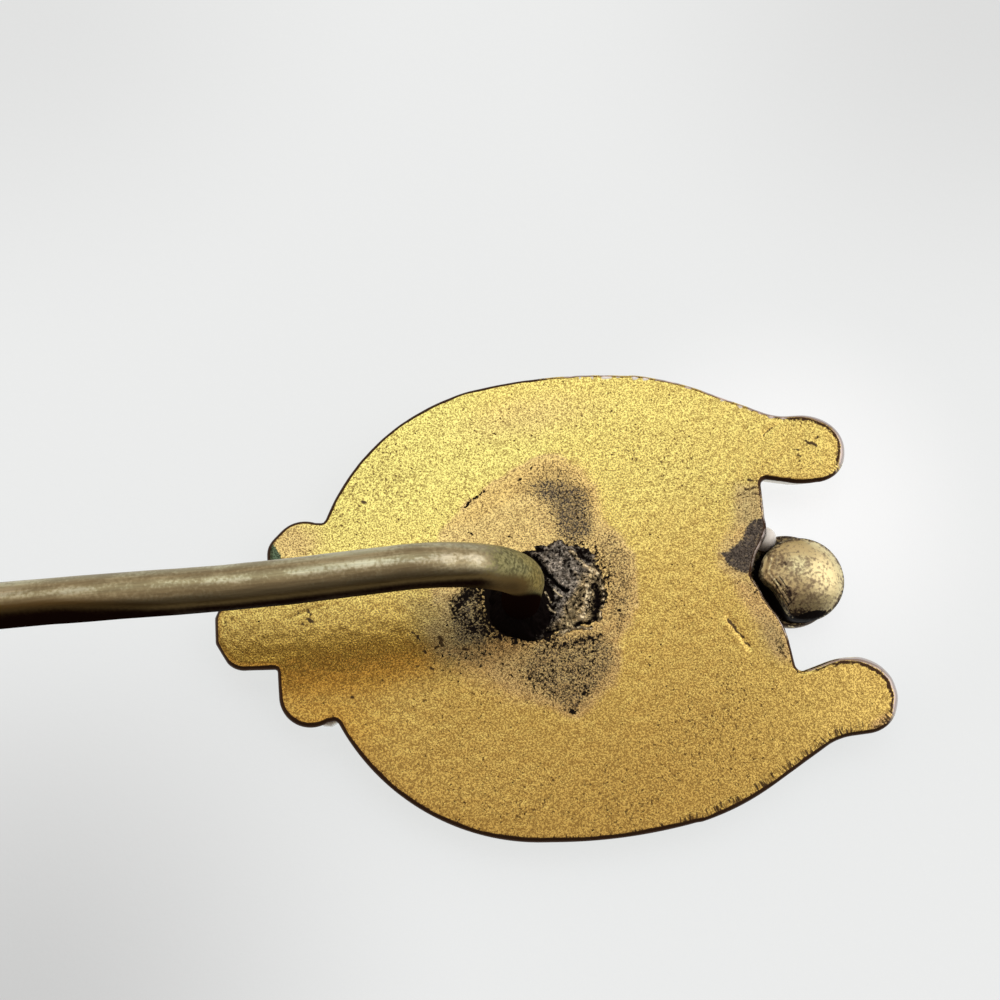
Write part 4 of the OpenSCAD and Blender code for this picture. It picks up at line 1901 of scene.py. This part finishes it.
        # Painted highlights: a ridge beside the gap, streaks on the lower side and the flange's edge
        ridge = bell(gap - 0.24, 0.05) * side * smooth(lumps(flat, 0.16, 43), -0.3, 0.5)
        ridge *= smooth(flat[:, 1], -0.7, 0.2)
        edges = sum(bell(gap - at, self.edge_width) for at in self.edges)
        streaks = 0.50 * edges * side * lower * smooth(lumps(flat, 0.30, 44), -0.2, 0.5)
        shine = 0.30 * flange * smooth(lumps(flat, 0.25, 45), -0.4, 0.4)
        shade_crescent = self.shade_crescent.mask(flat) * dome
        return {
            "shade": np.maximum(np.maximum(most(self.shades, flat), lip) * dome, 1.02 * flange),
            "fold": np.clip(np.max([fold, hem, shade_crescent, neck], axis=0), 0.0, 1.0),
            "glint": np.clip(np.max([ridge, streaks, shine], axis=0), 0.0, 1.0),
        }


@dataclass(frozen=True)
class FrontEnamel:
    """The ivory enamel on the front: a plain plate with soft edges, and a bead beside the button."""

    seats: Seats
    spacing: float = 0.06
    inset: float = 0.22
    edge_r: float = 0.12
    edge_steps: int = 6
    flange_clear: float = 1.21
    dome_clear: float = 1.08
    plate_clear: float = 0.03
    corner_at: Place = (-4.66, 2.16)
    corner_r: float = 0.32
    bead_at: Place = (6.57, 1.01)
    bead_r: float = 0.31
    bead_h: float = 0.80
    bead_low: float = 0.02
    bead_waist: float = 0.34
    bead_sides: int = 64
    bead_rings: int = 24

    def build(self) -> list[bpy.types.Object]:
        """Builds the layer and its bead.

        Returns:
            Both pieces.
        """
        finish = IvoryEnamel().material()
        shells = {"enamel_layer": self.layer(), "enamel_bead": self.bead()}
        return [shell.build(name, self.seats.head_x, finish, Slot.ENAMEL, "front_enamel")
                for name, shell in shells.items()]

    def layer(self) -> Shell:
        """The layer: the plate's outline moved inwards, clear of the flange, rounded above and below.

        Returns:
            The shell.
        """
        places = Outline.traced(self.spacing, self.inset).places
        x, y = self.corner_at
        for side in (-1.0, 1.0):
            places = pushed_out(places, (x, side * y), self.corner_r)
        outline = Outline.around(pushed_out(places, FLANGE, self.flange_clear))
        top = self.seats.enamel_top
        upper = [(inset, top - drop) for inset, drop in quarter_round(self.edge_r, self.edge_steps)]
        lower = [(inset, top - z) for inset, z in upper[::-1]]
        shell = Shell.lidded([outline.ring(inset, z) for inset, z in upper + lower], np.zeros((0, 3)))
        shell.values = {"bead_painted_light": np.zeros(len(shell.points))}
        return shell

    def bead(self) -> Shell:
        """The bead: a drop whose radius is r sqrt(1 - t^5) up to its top, kept off its neighbours.

        It keeps clear of the flange below its waist, and of the dome and the plate above it.

        Returns:
            The shell.
        """
        t = np.linspace(0.0, 1.0, self.bead_rings + 1)[:-1]
        radii = self.bead_r * np.sqrt(1.0 - t**5)
        flat = spokes(self.bead_at, radii[:, None], directions(self.bead_sides))
        z = np.repeat(self.bead_low + (self.bead_h - self.bead_low) * t, self.bead_sides)
        low = pushed_out(flat, FLANGE, self.flange_clear)
        high = pushed_out(flat, DOME, self.dome_clear)
        plate = Outline.traced(self.spacing / 2)
        plate = plate.swollen(BackPlate(self.seats).swelling(plate.places))
        beside_plate = (z >= self.seats.enamel_top)[:, None]
        high = np.where(beside_plate, plate.kept_out(high, self.plate_clear), high)
        flat = np.where((z < self.bead_waist)[:, None], low, high)
        rings = np.c_[flat, z].reshape(self.bead_rings, self.bead_sides, 3)
        ends = np.array([[*self.bead_at, self.bead_low], [*self.bead_at, self.bead_h]])
        shell = Shell.capped(rings, ends)
        shell.values = {"bead_painted_light": np.ones(len(shell.points))}
        return shell


# The stage


@dataclass(frozen=True)
class Lobe:
    """A soft round light in the surroundings: direction, cosines of its outer and inner edge, colour."""

    towards: Triple
    outer: float
    inner: float
    colour: Colour


@dataclass(frozen=True)
class Stage:
    """Pale floor, soft light from beyond the pin, and the camera at the photograph's angle."""

    floor_size: float = 1600.0
    camera_at: Triple = (18.668, -5.649, 27.191)
    azimuth: float = -9.42
    elevation: float = 72.39
    roll: float = 3.34
    lens: float = 39.6
    sensor: float = 36.0
    clip: tuple[float, float] = (1.0 * MM, 10000.0 * MM)
    ambient: Colour = (0.59, 0.47, 0.385)
    behind: float = 0.15
    lobes: tuple[Lobe, ...] = (
        Lobe((0.025, 0.515, 0.857), 0.900, 0.985, (0.79, 0.99, 1.04)),
        Lobe((0.80, 0.10, 0.591), 0.760, 0.950, (0.95, 0.95, 0.95)),
    )

    def camera(self) -> None:
        """Places the camera: azimuth 0 looks along +Y, and the roll turns it about its own line."""
        a, e, roll = (math.radians(v) for v in (self.azimuth, self.elevation, self.roll))
        ahead = Vector((-math.sin(a) * math.cos(e), math.cos(a) * math.cos(e), -math.sin(e)))
        level = ahead.cross(Vector((0.0, 0.0, 1.0))).normalized()
        raised = level.cross(ahead)
        right = level * math.cos(roll) + raised * math.sin(roll)
        up = right.cross(ahead)
        data = bpy.data.cameras.new("camera")
        data.lens, data.sensor_width = self.lens, self.sensor
        data.clip_start, data.clip_end = self.clip
        camera = bpy.data.objects.new("camera", data)
        turn = Matrix((right, up, -ahead)).transposed().to_4x4()
        camera.matrix_world = Matrix.Translation(Vector(self.camera_at) * MM) @ turn
        bpy.context.scene.collection.objects.link(camera)
        bpy.context.scene.camera = camera

    def floor(self) -> None:
        """Lays the floor at height 0."""
        half = self.floor_size / 2 * MM
        mesh = bpy.data.meshes.new("floor")
        corners = [(x * half, y * half, 0.0) for x, y in ((-1, -1), (1, -1), (1, 1), (-1, 1))]
        mesh.from_pydata(corners, [], [(0, 1, 2, 3)])
        mesh.materials.append(PaleCard().material())
        floor = bpy.data.objects.new("floor", mesh)
        bpy.context.scene.collection.objects.link(floor)

    def sky(self) -> None:
        """Soft surroundings: a warm ambient tone that falls off behind the camera, and broad soft lobes.

        A lobe's light is a soft step of the cosine between a direction and the lobe's own.
        """
        s = Shader.for_world("surroundings")
        part = {axis: s.node("ShaderNodeSeparateXYZ", {}, {0: s.place}, axis) for axis in "XYZ"}
        light = s.shaded(self.ambient, part["Y"].step(-0.75, -0.05, self.behind, 1.0))
        for lobe in self.lobes:
            x, y, z = lobe.towards
            near = part["X"] * x + part["Y"] * y + part["Z"] * z
            light = s.vector("ADD", light, s.shaded(lobe.colour, near.step(lobe.outer, lobe.inner)))
        s.feed(s.surface.inputs["Color"], light)

    def build(self) -> None:
        """Builds camera, floor and surroundings."""
        self.camera()
        self.floor()
        self.sky()
        bpy.context.scene.view_settings.view_transform = "Standard"


def main() -> None:
    """Builds every piece around the frame."""
    logging.basicConfig(level=logging.INFO, format="%(name)s: %(message)s")
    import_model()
    Stage().build()
    seats = Seats.read()
    for part in (BackPlate(seats), PinWire(seats), SolderCrust(seats), Button(seats), FrontEnamel(seats)):
        for piece in part.build():
            mesh = piece.data
            LOG.info("%s: %d points, %d faces", piece.name, len(mesh.vertices), len(mesh.polygons))


if __name__ == "__main__":
    main()
